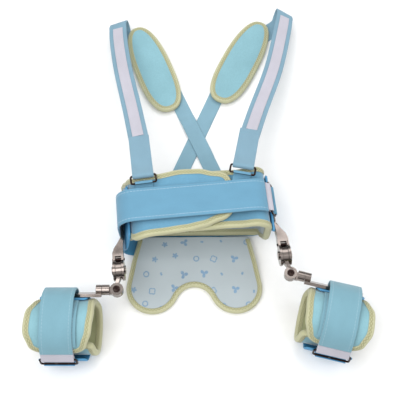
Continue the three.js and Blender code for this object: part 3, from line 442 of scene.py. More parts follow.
def skin(rings, u, v, closed=False):
    """Faces and UVs over rows of rings: each ring is joined to the next, the last to the first where the
    row is closed, and otherwise each end is closed by strips from a ring's first half to its second."""
    n, k = rings.shape[:2]
    spans = n if closed else n - 1
    i, j = np.meshgrid(np.arange(spans), np.arange(k), indexing="ij")
    i2, j2 = (i + 1) % n, (j + 1) % k
    faces = np.stack([i * k + j, i * k + j2, i2 * k + j2, i2 * k + j], -1).reshape(-1, 4)
    u = np.broadcast_to(np.asarray(u, float)[:, None], (len(u), k))
    v = np.broadcast_to(np.asarray(v, float), (n, k))
    v = np.vstack([v, v[:1]]) if closed else v
    iu = i + 1
    uv = np.stack([
        np.stack([u[i, j], v[i, j]], -1), np.stack([u[i, j2], v[i, j2]], -1),
        np.stack([u[iu, j2], v[iu, j2]], -1), np.stack([u[iu, j], v[iu, j]], -1),
    ], 2).reshape(-1, 4, 2)
    if not closed:
        m = np.arange(k // 2 - 1)
        cap = np.stack([m, m + 1, k - 2 - m, k - 1 - m], 1)
        last = (n - 1) * k
        uv_of = lambda ring, at: np.stack([u[ring, at], v[ring, at]], -1)
        faces = np.vstack([faces, cap[:, ::-1], cap + last])
        uv = np.concatenate([uv, uv_of(0, cap[:, ::-1]), uv_of(n - 1, cap)])
    return faces, uv * MM


def slab_rings(lay, a, low, high, wall, rim=None, crown=0.0, ripple=None, across=12, ends=1.0):
    """A padded strip in section: two faces `wall` apart with half-round edges, raised in the middle by
    crown times 1 - (2t - 1)^4, and thinned to round ends. Returns its rings, lengths and widths."""
    rim = wall / 2 if rim is None else rim
    turn = np.radians((14, 38, 64, 90))
    middle = np.linspace(0, 1, across + 2)[1:-1]
    t = np.concatenate([np.zeros(4), middle, np.ones(4)])
    inset = np.concatenate([1 - np.cos(turn), 1 - 2 * middle, np.cos(turn[::-1]) - 1])
    rise = np.concatenate([np.sin(turn), np.ones(across), np.sin(turn[::-1])])
    full = crown * (1 - (2 * t - 1) ** 4)
    soft = np.append(np.array((0, 0.06, 0.25, 0.6)) * max(ends, 1e-3), ends) * wall / 2
    a = np.unique(np.concatenate([a, a[0] + soft, a[-1] - soft]))
    from_end = np.minimum(a - a[0], a[-1] - a) / (ends * wall / 2)
    thin = np.sqrt(np.clip(1 - (1 - np.clip(from_end, 0, 1)) ** 2, 0.04, 1))
    low, high = (f(a) if callable(f) else np.full(len(a), float(f)) for f in (low, high))
    b = low[:, None] * (1 - t) + high[:, None] * t + rim * inset
    h = thin[:, None] * (wall / 2 * rise + full)
    shift = ripple(a[:, None], b) if ripple else 0.0
    b = np.concatenate([b, b[:, ::-1]], 1)
    h = np.concatenate([h + shift, (shift - h)[:, ::-1]], 1)
    return lay(np.broadcast_to(a[:, None], b.shape), b, h), a, b


def slab(name, lay, a, low, high, wall, nodes, slot, materials, place=None, **shape):
    """A padded strip or strap on a surface; with two materials the second is on the underside."""
    rings, along, widths = slab_rings(lay, a, low, high, wall, **shape)
    if place:
        rings = place(rings)
    faces, uv = skin(rings, along, widths)
    inner = None
    if len(materials) > 1:
        k = rings.shape[1]
        inner = ((faces % k).min(1) >= k // 2).astype(int)
    return make_piece(name, rings.reshape(-1, 3), faces, uv, nodes, slot, materials, inner)


def binding(name, lay, outline, nodes, slot, material, place=None, leg=7.0, wall=PAD_WALL, pitch=5.0,
            joined=True):
    """Bias binding folded over a pad's edge: a U in section, carried round the outline, drawn in a little
    at each stitch. Where it isn't joined, its two ends stay apart."""
    run = np.vstack([outline, outline[:1]]) if joined else outline
    length = lengths(run)
    s = np.linspace(0, length[-1], int(length[-1] / BINDING_STEP) + 1)
    path = at_length(s, length, run)
    s, path = (s[:-1], path[:-1]) if joined else (s, path)
    ended = lambda: np.vstack([path[:1], path, path[-1:]])
    beside = lambda by: np.roll(path, by, 0) if joined else ended()[1 - by:][:len(path)]
    for _ in range(3):
        path = (beside(1) + 2 * path + beside(-1)) / 4
    way = unit(beside(-1) - beside(1))
    turned = np.sum(path[:, 0] * np.roll(path[:, 1], -1) - np.roll(path[:, 0], -1) * path[:, 1])
    out = np.stack([way[:, 1], -way[:, 0]], 1) * np.sign(turned)
    core, far = wall / 2, wall / 2 + BINDING_WALL + 0.1
    angle = np.radians(np.linspace(90, -90, 11))
    flat = np.linspace(-leg, -core, 5)[:-1]
    outer_o = np.concatenate([flat, -core + far * np.cos(angle), flat[::-1]])
    outer_f = np.concatenate([np.full(4, far), far * np.sin(angle), np.full(4, -far)])
    outer_f[[0, -1]] *= 0.92
    near = core + 0.1
    inner_o = np.concatenate([flat, -core + near * np.cos(angle), flat[::-1]])
    inner_f = np.concatenate([np.full(4, -near), -near * np.sin(angle), np.full(4, near)])
    o, f = np.concatenate([outer_o, inner_o]), np.concatenate([outer_f, inner_f])
    around = np.append(0, np.cumsum(np.hypot(np.diff(outer_o), np.diff(outer_f))))
    around -= around[-1] / 2
    v = np.concatenate([around, np.linspace(around[-1], around[0], len(inner_o))])
    draw = 0.16 * np.sin(2 * np.pi * s / pitch) + 0.1 * np.sin(2 * np.pi * s / (3.7 * pitch) + 1)
    puff = np.exp(-((np.abs(v) - 4.5) / 2.2) ** 2) * (np.arange(len(v)) < len(outer_o))
    f = f[None] * (1 + 0.045 * puff[None] * (1 + draw[:, None] * 4))
    a = path[:, :1] + out[:, :1] * o
    b = path[:, 1:] + out[:, 1:] * o
    rings = lay(a, b, f)
    if place:
        rings = place(rings)
    faces, uv = skin(rings, np.append(s, length[-1]), v, closed=joined)
    return make_piece(name, rings.reshape(-1, 3), faces, uv, nodes, slot, [material])


def ribbon(name, stops, across, width, wall, nodes, slot, material, place=None, each=8, **shape):
    """A woven strap or tape through its stops, with soft edges and ends."""
    path, wide = through(stops, across, each)
    lay, length = path_lay(path, wide)
    return slab(name, lay, length, -width / 2, width / 2, wall, nodes, slot, [material], place=place,
                across=shape.pop("columns", 8), **shape)


def wire_ring(name, centre, long, short, half_long, half_short, nodes, material, place=None):
    """A wire bent to a rectangle with round corners, round in section, and closed."""
    face = unit(np.cross(long, short))
    turn = np.radians(np.linspace(0, 90, 8))
    middle, out = [], []
    for a, b, start in ((1, 1, 0), (-1, 1, 90), (-1, -1, 180), (1, -1, 270)):
        angle = turn + np.radians(start)
        way = np.cos(angle)[:, None] * long + np.sin(angle)[:, None] * short
        base = centre + long * a * (half_long - WIRE_BEND) + short * b * (half_short - WIRE_BEND)
        middle.append(base + way * WIRE_BEND)
        out.append(way)
    middle, out = np.concatenate(middle), np.concatenate(out)
    angle = np.linspace(0, 2 * np.pi, 17)[:-1]
    radius = WIRE / 2
    rings = middle[:, None] + radius * (np.cos(angle)[None, :, None] * out[:, None]
                                        + np.sin(angle)[None, :, None] * face)
    s = lengths(np.vstack([middle, middle[:1]]))
    if place:
        rings = place(rings)
    faces, uv = skin(rings, s, angle * radius, closed=True)
    return make_piece(name, rings.reshape(-1, 3), faces, uv, nodes, "wire", [material])


def machined(node, slot, material, edge=0.4):
    """A copy of a hard CAD node with its doubles merged, flat faces joined, and its edges broken."""
    mesh = frame["nodes"][node].data.copy()
    mesh.name = "machined_" + node
    work = bmesh.new()
    work.from_mesh(mesh)
    bmesh.ops.remove_doubles(work, verts=work.verts, dist=2e-6)
    bmesh.ops.dissolve_limit(work, angle_limit=np.radians(1.5), verts=work.verts, edges=work.edges)
    work.to_mesh(mesh)
    work.free()
    mesh.materials.clear()
    mesh.materials.append(material)
    mesh.shade_smooth()
    mesh.set_sharp_from_angle(angle=np.radians(38))
    piece = bpy.data.objects.new("machined_" + node, mesh)
    bevel = piece.modifiers.new("broken edges", "BEVEL")
    bevel.width = edge * MM
    bevel.segments = 2
    bevel.limit_method = "ANGLE"
    bevel.angle_limit = np.radians(38)
    bevel.use_clamp_overlap = True
    bevel.harden_normals = True
    return stand_for(piece, [node], slot)


# Materials

def linear(colour):
    """An sRGB hex colour as linear red, green, blue and alpha."""
    part = np.array([int(colour[i:i + 2], 16) / 255 for i in (1, 3, 5)])
    part = np.where(part <= 0.04045, part / 12.92, ((part + 0.055) / 1.055) ** 2.4)
    return (*part.tolist(), 1.0)


def set_sockets(node, sockets):
    """Fills sockets, by key or in order, with a value or a link; a node stands for its first output."""
    for key, value in sockets.items() if isinstance(sockets, dict) else enumerate(sockets):
        if isinstance(value, bpy.types.Node):
            value = value.outputs[0]
        if isinstance(value, bpy.types.NodeSocket):
            node.id_data.links.new(value, node.inputs[key])
        else:
            node.inputs[key].default_value = value


def add_node(tree, kind, sockets=(), **settings):
    """Adds a shader node with its settings and sockets. A kind may name its operation, as Math.ADD does."""
    kind, dot, operation = kind.partition(".")
    node = tree.nodes.new("ShaderNode" + kind)
    if operation:
        node.operation = operation
    for key, value in settings.items():
        setattr(node, key, value)
    set_sockets(node, sockets)
    return node


def new_material(name, **sockets):
    """A bare principled material with fixed socket values, and the function that adds nodes to it."""
    found = bpy.data.materials.get(name)
    if found:
        bpy.data.materials.remove(found)
    material = bpy.data.materials.new(name)
    material.use_nodes = True
    tree = material.node_tree
    tree.nodes.clear()
    shader = add_node(tree, "BsdfPrincipled",
                      {key.replace("_", " "): value for key, value in sockets.items()})
    add_node(tree, "OutputMaterial", {"Surface": shader})
    return material, partial(add_node, tree), shader


def finish_material(add, shader, tone, height, strength, distance, **others):
    """Gives a material its colour, a height's bump (inwards if strength is negative) and other sockets."""
    sockets = {"Height": height, "Strength": abs(strength), "Distance": distance}
    bump = add("Bump", sockets, invert=strength < 0)
    set_sockets(shader, {"Base Color": tone, "Normal": bump, **others})


def colour_of(name):
    """A user's colour as red, green, blue and alpha."""
    return (*getattr(bpy.context.scene.brace_colours, name), 1.0)


def shaded(colour, by):
    return (*(min(c * by, 1.0) for c in colour[:3]), 1.0)


def mottled(add, colour, dark, light, **noise):
    """A noise, and the colour that wanders with it between two shades, as dyed or rubbed surfaces do."""
    cloud = add("TexNoise", noise)
    shades = {0: cloud, 6: shaded(colour, dark), 7: shaded(colour, light)}
    return add("Mix", shades, data_type="RGBA").outputs[2], cloud


def webbing(name, colour, stitch_at=None, rib=1.6, stitching=0.4):
    """Woven nylon webbing: ribs across the strap at the weft's spacing, drawn coarse enough to show, fine
    warp lines along it, slow tone changes where it was handled, and whitish lockstitch near the edges."""
    material, add, shader = new_material(name, Roughness=0.82, Sheen_Weight=0.25, Sheen_Roughness=0.5)
    warp_pitch, stitch_pitch, stitch_share, half_thread = 1.1, 4.2, 0.68, 0.3
    uv = add("UVMap", uv_map="UVMap")
    u, v = add("SeparateXYZ", (uv,)).outputs[:2]
    weft, warp = (
        add("Math.SINE", (add("Math.MULTIPLY", (part, 2 * np.pi / (pitch * MM))),))
        for part, pitch in ((u, rib), (v, warp_pitch))
    )
    weave = add("Math.MULTIPLY", (weft, warp))
    handled = add("VectorMath.MULTIPLY", (uv, (30, 60, 30)))
    tone, _ = mottled(add, colour, 0.9, 1.1, Vector=handled, Scale=1.0, Detail=3.0)
    fibres = add("VectorMath.MULTIPLY", (uv, (500, 1400, 1)))
    fuzz = add("TexNoise", {"Vector": fibres, "Scale": 1.0, "Detail": 2.0})
    thread = add("MapRange", (weave, -1.0, 1.0, 0.0, 0.16))
    tone = add("Mix", {0: thread, 6: tone, 7: shaded(colour, 0.62)}, data_type="RGBA").outputs[2]
    pale = add("MapRange", (fuzz, 0.55, 0.75, 0.0, 0.2))
    tone = add("Mix", {0: pale, 6: tone, 7: shaded(colour, 1.35)}, data_type="RGBA").outputs[2]
    height = add("Math.ADD", (weave, fuzz))
    if stitch_at is not None:
        off = add("Math.SUBTRACT", (add("Math.ABSOLUTE", (v,)), stitch_at * MM))
        line = add("Math.LESS_THAN", (add("Math.ABSOLUTE", (off,)), half_thread * MM))
        run = add("Math.FRACT", (add("Math.MULTIPLY", (u, 1 / (stitch_pitch * MM))),))
        stitch = add("Math.MULTIPLY", (line, add("Math.LESS_THAN", (run, stitch_share))))
        amount = add("Math.MULTIPLY", (stitch, stitching))
        tone = add("Mix", {0: amount, 6: tone, 7: linear("#E4EEF4")}, data_type="RGBA").outputs[2]
        height = add("Math.ADD", (height, stitch))
    finish_material(add, shader, tone, height, 0.35, 0.0002)
    return material


def brushed_cloth(name, colour):
    """Brushed loop nylon over foam: a short nap of 0.4 mm fibres, laid over in patches some 20 mm wide,
    that catches light at a low angle."""
    material, add, shader = new_material(name, Roughness=0.92, Sheen_Weight=0.45, Sheen_Roughness=0.45)
    place = add("TexCoord").outputs["Object"]
    nap = add("TexNoise", {"Vector": place, "Scale": 900.0, "Detail": 3.0})
    tuft = add("TexNoise", {"Vector": place, "Scale": 240.0, "Detail": 2.0})
    tone, _ = mottled(add, colour, 0.88, 1.12, Vector=place, Scale=34.0, Detail=3.0)
    # Painted shade: the nap is darkened where its bump is low, in the hollows between the fibres
    dark = add("MapRange", (nap, 0.35, 0.6, 0.22, 0.0))
    tone = add("Mix", {0: dark, 6: tone, 7: shaded(colour, 0.55)}, data_type="RGBA").outputs[2]
    finish_material(add, shader, tone, add("Math.ADD", (nap, tuft)), 0.4, 0.0003)
    return material


# Printed shapes by kind: base radius, swing of the radius, and its turns by angle
PRINT_SHAPES = ((3.3, 0.0, 1.0), (1.9, 2.4, 2.5), (0.7, 5.0, 1.5), (3.1, 1.3, 2.0), (1.3, 0.9, 1.0))
PRINT_OUTLINED, PRINT_LINE = (0, 3), 0.85


def printed_flannel(name, colour, motif, cell=27.0, squeeze=0.8):
    """Brushed cotton flannel with a nursery print of plain shapes: each cell of a staggered layout holds a
    ring, a star, a sprig, a cloud or a dot, 5 to 10 mm wide, turned and shifted by chance of its cell. A
    shape is the radius base + swing * |cos(turns * angle)|, filled or outlined."""
    material, add, shader = new_material(name, Roughness=0.94, Sheen_Weight=0.35, Sheen_Roughness=0.5)
    place = add("TexCoord").outputs["Object"]
    uv = add("UVMap", uv_map="UVMap")
    grid = add("VectorMath.MULTIPLY", (uv, (1000 / cell, 1000 / (squeeze * cell), 0)))
    x, y = add("SeparateXYZ", (grid,)).outputs[:2]
    row = add("Math.FLOOR", (y,))
    x = add("Math.ADD", (x, add("Math.MULTIPLY", (row, 0.5))))
    which = add("CombineXYZ", (add("Math.FLOOR", (x,)), row))
    chance = add("TexWhiteNoise", {"Vector": which}, noise_dimensions="2D")
    three = add("SeparateColor", (chance.outputs[1],)).outputs
    local = []
    for part, by_chance, size in ((x, three[0], cell), (y, three[1], squeeze * cell)):
        shift = add("Math.MULTIPLY_ADD", (by_chance, 0.3, -0.65))
        from_middle = add("Math.ADD", (add("Math.FRACT", (part,)), shift))
        local.append(add("Math.MULTIPLY", (from_middle, size)))
    lx, ly = local
    r = add("Math.SQRT", (add("Math.MULTIPLY_ADD", (ly, ly, add("Math.MULTIPLY", (lx, lx)))),))
    angle = add("Math.MULTIPLY_ADD", (three[2], 6.283, add("Math.ARCTAN2", (ly, lx))))
    kind = add("Math.FLOOR", (add("Math.MULTIPLY", (chance, float(len(PRINT_SHAPES)))),))
    radius, outlined = 0.0, 0.0
    for number, (base, swing, turns) in enumerate(PRINT_SHAPES):
        mine = add("Math.COMPARE", (kind, float(number), 0.4))
        wave = add("Math.COSINE", (add("Math.MULTIPLY", (angle, turns)),))
        wave = add("Math.MULTIPLY_ADD", (add("Math.ABSOLUTE", (wave,)), swing, base))
        radius = add("Math.MULTIPLY_ADD", (wave, mine, radius))
        if number in PRINT_OUTLINED:
            outlined = add("Math.ADD", (mine, outlined))
    inside = add("Math.SUBTRACT", (radius, r))
    edge = add("Math.SUBTRACT", (PRINT_LINE, add("Math.ABSOLUTE", (inside,))))
    shape = add("Mix", {0: outlined, 2: inside, 3: edge}, data_type="FLOAT")
    mask = add("MapRange", (shape, -0.25, 0.35, 0.0, 0.85))

    nap = add("TexNoise", {"Vector": place, "Scale": 700.0, "Detail": 3.0})
    tone, slow = mottled(add, colour, 0.93, 1.06, Vector=place, Scale=26.0, Detail=2.0)
    ink = add("Mix", {0: slow, 6: shaded(motif, 0.75), 7: shaded(motif, 1.25)}, data_type="RGBA").outputs[2]
    amount = add("Math.MULTIPLY", (mask, add("MapRange", (nap, 0.35, 0.5, 0.55, 1.0))))
    tone = add("Mix", {0: amount, 6: tone, 7: ink}, data_type="RGBA").outputs[2]
    finish_material(add, shader, tone, nap, 0.3, 0.0003)
    return material


def bias_binding(name, colour, thread, pitch=4.6, centre=7.6, swing=1.7):
    """Cotton bias binding: a plain weave cut on the bias, held by two crossing zigzags of darker thread
    that leave small diamonds along its inner half."""
    material, add, shader = new_material(name, Roughness=0.88, Sheen_Weight=0.2, Sheen_Roughness=0.5)
    uv = add("UVMap", uv_map="UVMap")
    u, v = add("SeparateXYZ", (uv,)).outputs[:2]
    u = add("Math.MULTIPLY", (u, 1000 / pitch))
    v = add("Math.MULTIPLY_ADD", (add("Math.ABSOLUTE", (v,)), 1000.0, -centre))
    saw = add("Math.PINGPONG", (u, 1.0))
    saw = add("Math.MULTIPLY_ADD", (saw, 2 * swing, -swing))
    first, second = (add("Math.ABSOLUTE", (add(way, (v, saw)),)) for way in ("Math.SUBTRACT", "Math.ADD"))
    stitch = add("MapRange", (add("Math.MINIMUM", (first, second)), 0.4, 0.75, 1.0, 0.0))
    bias = add("Mapping", {"Vector": uv, "Rotation": (0, 0, 0.785), "Scale": (900, 900, 1)})
    weave = add("TexNoise", {"Vector": bias, "Scale": 1.0, "Detail": 2.0})
    slow = add("VectorMath.MULTIPLY", (uv, (45, 120, 1)))
    tone, _ = mottled(add, colour, 0.86, 1.1, Vector=slow, Scale=1.0, Detail=2.0)
    amount = add("Math.MULTIPLY", (stitch, 0.7))
    tone = add("Mix", {0: amount, 6: tone, 7: thread}, data_type="RGBA").outputs[2]
    finish_material(add, shader, tone, add("Math.MULTIPLY_ADD", (weave, 0.4, stitch)), 0.5, 0.0004)
    return material


def hook_tape(name, colour):
    """Nylon hook tape: rows of tiny hooks 1.3 mm apart on a stiff woven ground."""
    material, add, shader = new_material(name, Roughness=0.6, Sheen_Weight=0.15)
    uv = add("UVMap", uv_map="UVMap")
    rows, broad = (add("VectorMath.MULTIPLY", (uv, (by, by, 1))) for by in (770, 40))
    dots = add("TexVoronoi", {"Vector": rows, "Scale": 1.0, "Randomness": 0.25}, voronoi_dimensions="2D")
    tone, _ = mottled(add, colour, 0.88, 1.08, Vector=broad, Scale=1.0)
    # Painted shade: the ground between the hooks, where the bump sinks in, is darkened
    gap = add("MapRange", (dots, 0.2, 0.6, 0.0, 0.3))
    tone = add("Mix", {0: gap, 6: tone, 7: shaded(colour, 0.6)}, data_type="RGBA").outputs[2]
    finish_material(add, shader, tone, dots, -0.4, 0.0003)
    return material


def moulded_polyethylene(name, colour):
    """Vacuum-moulded polyethylene sheet: even blue with a faint orange-peel grain of about 1 mm and a soft
    gloss that is duller where it was rubbed."""
    material, add, shader = new_material(name, IOR=1.51)
    place = add("TexCoord").outputs["Object"]
    grain = add("TexNoise", {"Vector": place, "Scale": 700.0, "Detail": 2.0})
    tone, slow = mottled(add, colour, 0.86, 1.12, Vector=place, Scale=22.0, Detail=4.0)
    dull = add("MapRange", (slow, 0.3, 0.7, 0.42, 0.6))
    finish_material(add, shader, tone, grain, 0.2, 0.0002, Roughness=dull)
    return material


def polished_steel(name, colour):
    """Polished stainless steel: bright, with hair-fine polishing lines and faint smears."""
    material, add, shader = new_material(name, Metallic=1.0)
    place = add("TexCoord").outputs["Object"]
    along = add("VectorMath.MULTIPLY", (place, (2600, 160, 2600)))
    lines = add("TexNoise", {"Vector": along, "Scale": 1.0, "Detail": 2.0})
    tone, smear = mottled(add, colour, 0.82, 1.1, Vector=place, Scale=90.0, Detail=3.0)
    rough = add("MapRange", (smear, 0.3, 0.7, 0.08, 0.2))
    finish_material(add, shader, tone, lines, 0.08, 0.0001, Roughness=rough)
    return material


def blackened_wire(name, colour):
    """Black-oxide steel wire: dark brown-black, half gloss, with paler worn spots where straps rub."""
    material, add, shader = new_material(name, Metallic=0.85)
    place = add("TexCoord").outputs["Object"]
    worn = add("TexNoise", {"Vector": place, "Scale": 260.0, "Detail": 4.0})
    amount = add("MapRange", (worn, 0.55, 0.75, 0.0, 0.5))
    tone = add("Mix", {0: amount, 6: colour, 7: linear("#8A7F78")}, data_type="RGBA").outputs[2]
    rough = add("MapRange", (worn, 0.3, 0.7, 0.28, 0.45))
    set_sockets(shader, {"Base Color": tone, "Roughness": rough})
    return material


CLOTHS = {}


def cloths():
    """Every finish of the brace, made once from the user's colours."""
    if CLOTHS:
        return CLOTHS
    CLOTHS.update(
        waist_strap=webbing("wide nylon loop webbing", colour_of("waist_strap"), stitch_at=18.0),
        waist_tab=webbing("narrow nylon webbing", colour_of("waist_strap")),
        shoulder=webbing("shoulder nylon webbing", colour_of("shoulder_strap")),
        back=webbing("back nylon webbing", colour_of("back_strap")),
        cuff_strap=webbing("cuff nylon loop webbing", colour_of("cuff_strap"), stitch_at=16.0,
                           stitching=0.2),
        stripe=webbing("woven light stripe", colour_of("hook_tape"), rib=1.2),
        band=brushed_cloth("brushed nylon over foam, waist", colour_of("waist_strap")),
        pad=brushed_cloth("brushed nylon over foam, pads", colour_of("pad")),
        inner=brushed_cloth("brushed nylon over foam, inside of cuffs", colour_of("cuff_inner")),
        lining=printed_flannel("printed cotton flannel", colour_of("lining"), colour_of("motif")),
        binding=bias_binding("cotton bias binding", colour_of("binding"), colour_of("binding_thread")),
        hook=hook_tape("nylon hook tape", colour_of("hook_tape")),
        shell=moulded_polyethylene("moulded polyethylene", colour_of("shell")),
        steel=polished_steel("polished stainless steel", colour_of("steel")),
        wire=blackened_wire("black-oxide steel wire", colour_of("wire")),
    )
    return CLOTHS


# What a user may change

class BraceSizes(bpy.types.PropertyGroup):
    binding_leg: FloatProperty(name="Binding leg", description="Width of binding on each face of a pad",
                               default=7.0, min=4.0, max=9.0)
    stitch_pitch: FloatProperty(name="Stitch pitch", description="Length of a binding's zigzag",
                                default=4.6, min=2.0, max=10.0)
    fullness: FloatProperty(name="Padding fullness", description="Rise of a pad's middle over its edge",
                            default=0.7, min=0.0, max=1.2)
    creases: FloatProperty(name="Cloth waves", description="Height of the gentle waves in straps and pads",
                           default=0.35, min=0.0, max=0.8)
    broken_edge: FloatProperty(name="Broken edge", description="Bevel on the steel parts' edges",
                               default=0.4, min=0.1, max=0.8)


def colour_property(name, value, description):
    return FloatVectorProperty(name=name, description=description, subtype="COLOR", size=3, min=0, max=1,
                               default=linear(value)[:3])


class BraceColours(bpy.types.PropertyGroup):
    waist_strap: colour_property("Waist strap", "#6498B4", "Wide strap and the band's outer cloth")
    shoulder_strap: colour_property("Shoulder strap", "#7CA0B3", "Straps over the shoulders")
    back_strap: colour_property("Back strap", "#81A7B8", "Narrow straps that cross at the back")
    cuff_strap: colour_property("Cuff strap", "#77A3B2", "Straps round the thigh cuffs")
    pad: colour_property("Pads", "#87B4BF", "Outer cloth of shoulder pads and cuffs")
    shell: colour_property("Shell", "#4A90BC", "Moulded shells of waist and thighs")
    lining: colour_property("Lining", "#ADB7BB", "Ground of the printed lining")
    cuff_inner: colour_property("Cuff's inner cloth", "#A5A882", "Brushed cloth on the inside of the cuffs")
    motif: colour_property("Print", "#6A8FB0", "Shapes printed on the lining")
    binding: colour_property("Binding", "#BDBC98", "Bias binding of every padded edge")
    binding_thread: colour_property("Binding thread", "#7F7C52", "Zigzag stitches of the binding")
    hook_tape: colour_property("Hook tape", "#BFBDC8", "Hook tape and the light stripe")
    wire: colour_property("Wire", "#2A1C1A", "Wire rings and dark screws")
    steel: colour_property("Steel", "#8A817C", "Irons, hinges and bars")


class BraceStage(bpy.types.PropertyGroup):
    distance: FloatProperty(name="Camera distance", description="From the brace's middle", default=0.95,
                            min=0.5, max=3.0, unit="LENGTH")
    turn: FloatProperty(name="Camera turn", description="Degrees round the brace", default=-5.5)
    rise: FloatProperty(name="Camera rise", description="Degrees above the table", default=66, min=0, max=89)
    lens: FloatProperty(name="Lens", description="Focal length in mm", default=64.3, min=20, max=200)
    key_power: FloatProperty(name="Key light", description="Power of the soft key light in watts",
                             default=9.0, min=0, max=100)


# Pieces

class BraceMaker(bpy.types.Operator):
    """What every making operator shares"""
    bl_idname = "brace.maker"
    bl_label = "Make a piece"
    bl_options = {"REGISTER", "UNDO"}

    def execute(self, context):
        self.make(cloths(), context.scene.brace_sizes)
        return {"FINISHED"}

    def make(self, cloth, sizes):
        """Nothing of its own"""


def fine_ends(first, last, step, near_end):
    """Places along a strip at even steps, closer together near its ends."""
    close, reach = np.array(near_end[:-1]), near_end[-1]
    even = np.arange(first + reach, last - reach, step)
    return np.unique(np.concatenate([even, first + close, last - close]))


def rounded_ends(a, first, last, radius):
    """How far an edge draws in near both ends of a strip, for round corners."""
    d = np.clip(np.minimum(a - first, last - a), 0, radius)
    return radius - np.sqrt(np.maximum(radius ** 2 - (radius - d) ** 2, 0))


def strip_outline(a, low, high):
    """Closed outline of a strip in its own surface: along its low edge, then back along its high edge."""
    return np.concatenate([np.stack([a, low], 1), np.stack([a, high], 1)[::-1]])


class BRACE_OT_waist_band(BraceMaker):
    """Back shell, padded liner and the liner's binding"""
    bl_idname = "brace.waist_band"
    bl_label = "Waist band"

    def make(self, cloth, sizes):
        shell = waist_lay(lambda a: -SHELL_WALL / 2 + 0 * a)
        a = np.arange(SHELL_REACH, 1 - SHELL_REACH + 0.004, 0.008) * LOOP_TOTAL
        a = np.clip(a, None, (1 - SHELL_REACH) * LOOP_TOTAL)
        corner = lambda s: rounded_ends(s, a[0], a[-1], SHELL_CORNER)
        slab("moulded_back_shell", shell, a, lambda s: eased(s / LOOP_TOTAL, SHELL_ROWS) + corner(s),
             lambda s: SHELL_HIGH - corner(s), SHELL_WALL, ["back_shell"], "shell_blue", [cloth["shell"]])

        lay = waist_lay(liner_base)
        first, last = PANEL_UNDER * LOOP_TOTAL, PANEL_OVER * LOOP_TOTAL
        a = fine_ends(first, last, 4.0, (0, 0.3, 1, 2, 3.5, 5, 7, 9, 11, 12))
        low = lambda s: liner_low(s) + rounded_ends(s, first, last, LINER_CORNER)
        high = lambda s: liner_high(s) - rounded_ends(s, first, last, LINER_CORNER)
        pad = slab("padded_waist_liner", lay, a, low, high, PAD_WALL, ["waist_liner"], "waist_blue",
                   [cloth["band"], cloth["lining"]], crown=0.15 * sizes.fullness, across=22)
        binding("bound_waist_liner", lay, strip_outline(a, low(a), high(a)), ["waist_binding"], "binding",
                cloth["binding"], leg=sizes.binding_leg, pitch=sizes.stitch_pitch)


class BRACE_OT_waist_closure(BraceMaker):
    """Wide front strap, its hook tape, wire ring and ring tab"""
    bl_idname = "brace.waist_closure"
    bl_label = "Waist closure"

    def make(self, cloth, sizes):
        y = WAIST_STRAP_Y
        along = np.array((0.0, 1.0, 0.0))
        reach = FRONT_RADIUS + WAIST_STRAP_LIFT
        corner = np.array((FRONT_RIGHT, WAIST_DEPTH)) - FRONT_RADIUS
        on_corner = lambda r, angle: np.array((
            corner[0] + r * np.cos(np.radians(angle)), y, corner[1] + r * np.sin(np.radians(angle))))
        left = PIVOT[0] - IRON_INSET + IRON_WALL / 2 + CLEARANCE + STRAP_WALL / 2
        bend = np.array((WAIST_STRAP_BEND - left, y, corner[1] + reach - WAIST_STRAP_BEND))
        turn = np.pi * (1 - np.linspace(0, 1, 7) / 2)
        stops = [(-left, y, WAIST_STRAP_FOOT), (-left, y, PIVOT[2])]
        stops += [bend + WAIST_STRAP_BEND * np.array((np.cos(t), 0, np.sin(t))) for t in turn]
        stops += [(x, y, corner[1] + reach) for x in (-45, -20, 10, 40)]
        stops += [on_corner(reach, angle) for angle in (90, 75, 60, 45)]
        ribbon("woven_waist_strap", stops, along, WAIST_STRAP_WIDTH, STRAP_WALL, ["waist_strap"],
               "waist_blue", cloth["waist_strap"], columns=16,
               ripple=wander(0.3 * sizes.creases, 37, 60, 0.7))

        fold = WIRE / 2 + CLEARANCE + TAPE_WALL / 2
        inner = reach - STRAP_WALL / 2 - CLEARANCE - TAPE_WALL / 2
        bar = on_corner(inner + fold + CLEARANCE, WAIST_RING_ANGLE)
        round_bar = lambda *turn: bar_turn(*turn, (1, 0, 0))
        stops = [on_corner(reach, 43), on_corner(reach, 38)]
        stops += round_bar(bar, fold, WAIST_RING_ANGLE, (40, 0, -45, -90, -135, -180))
        stops += [on_corner(inner, angle) for angle in (42, 57, 72)]
        ribbon("woven_waist_hook_tape", stops, along, WAIST_TAPE_WIDTH, TAPE_WALL, ["waist_hook_tape"],
               "hook_tape", cloth["hook"])

        tab_fold = WIRE / 2 + CLEARANCE + TAB_WALL / 2
        low = np.array((FRONT_RIGHT + CLEARANCE + TAB_WALL / 2 + tab_fold, y, WAIST_RING_LOW))
        way = bar - low
        wire_ring("bent_waist_ring", (bar + low) / 2, along, unit(way), WAIST_TAPE_WIDTH / 2 + CLEARANCE + 2,
                  np.linalg.norm(way) / 2, ["waist_ring"], cloth["wire"])
        shell = low[0] - tab_fold
        foot = PIVOT[2] + IRON_WIDTH / 2
        stops = [(shell, y, foot + CLEARANCE), (shell, y, foot + 4)]
        stops += round_bar(low, tab_fold, 180, (0, -45, -90, -135, -180))
        stops += [(low[0], y, low[2] - 6)]
        ribbon("woven_waist_ring_tab", stops, along, WAIST_TAPE_WIDTH, TAB_WALL, ["waist_ring_tab"],
               "waist_blue", cloth["waist_tab"])


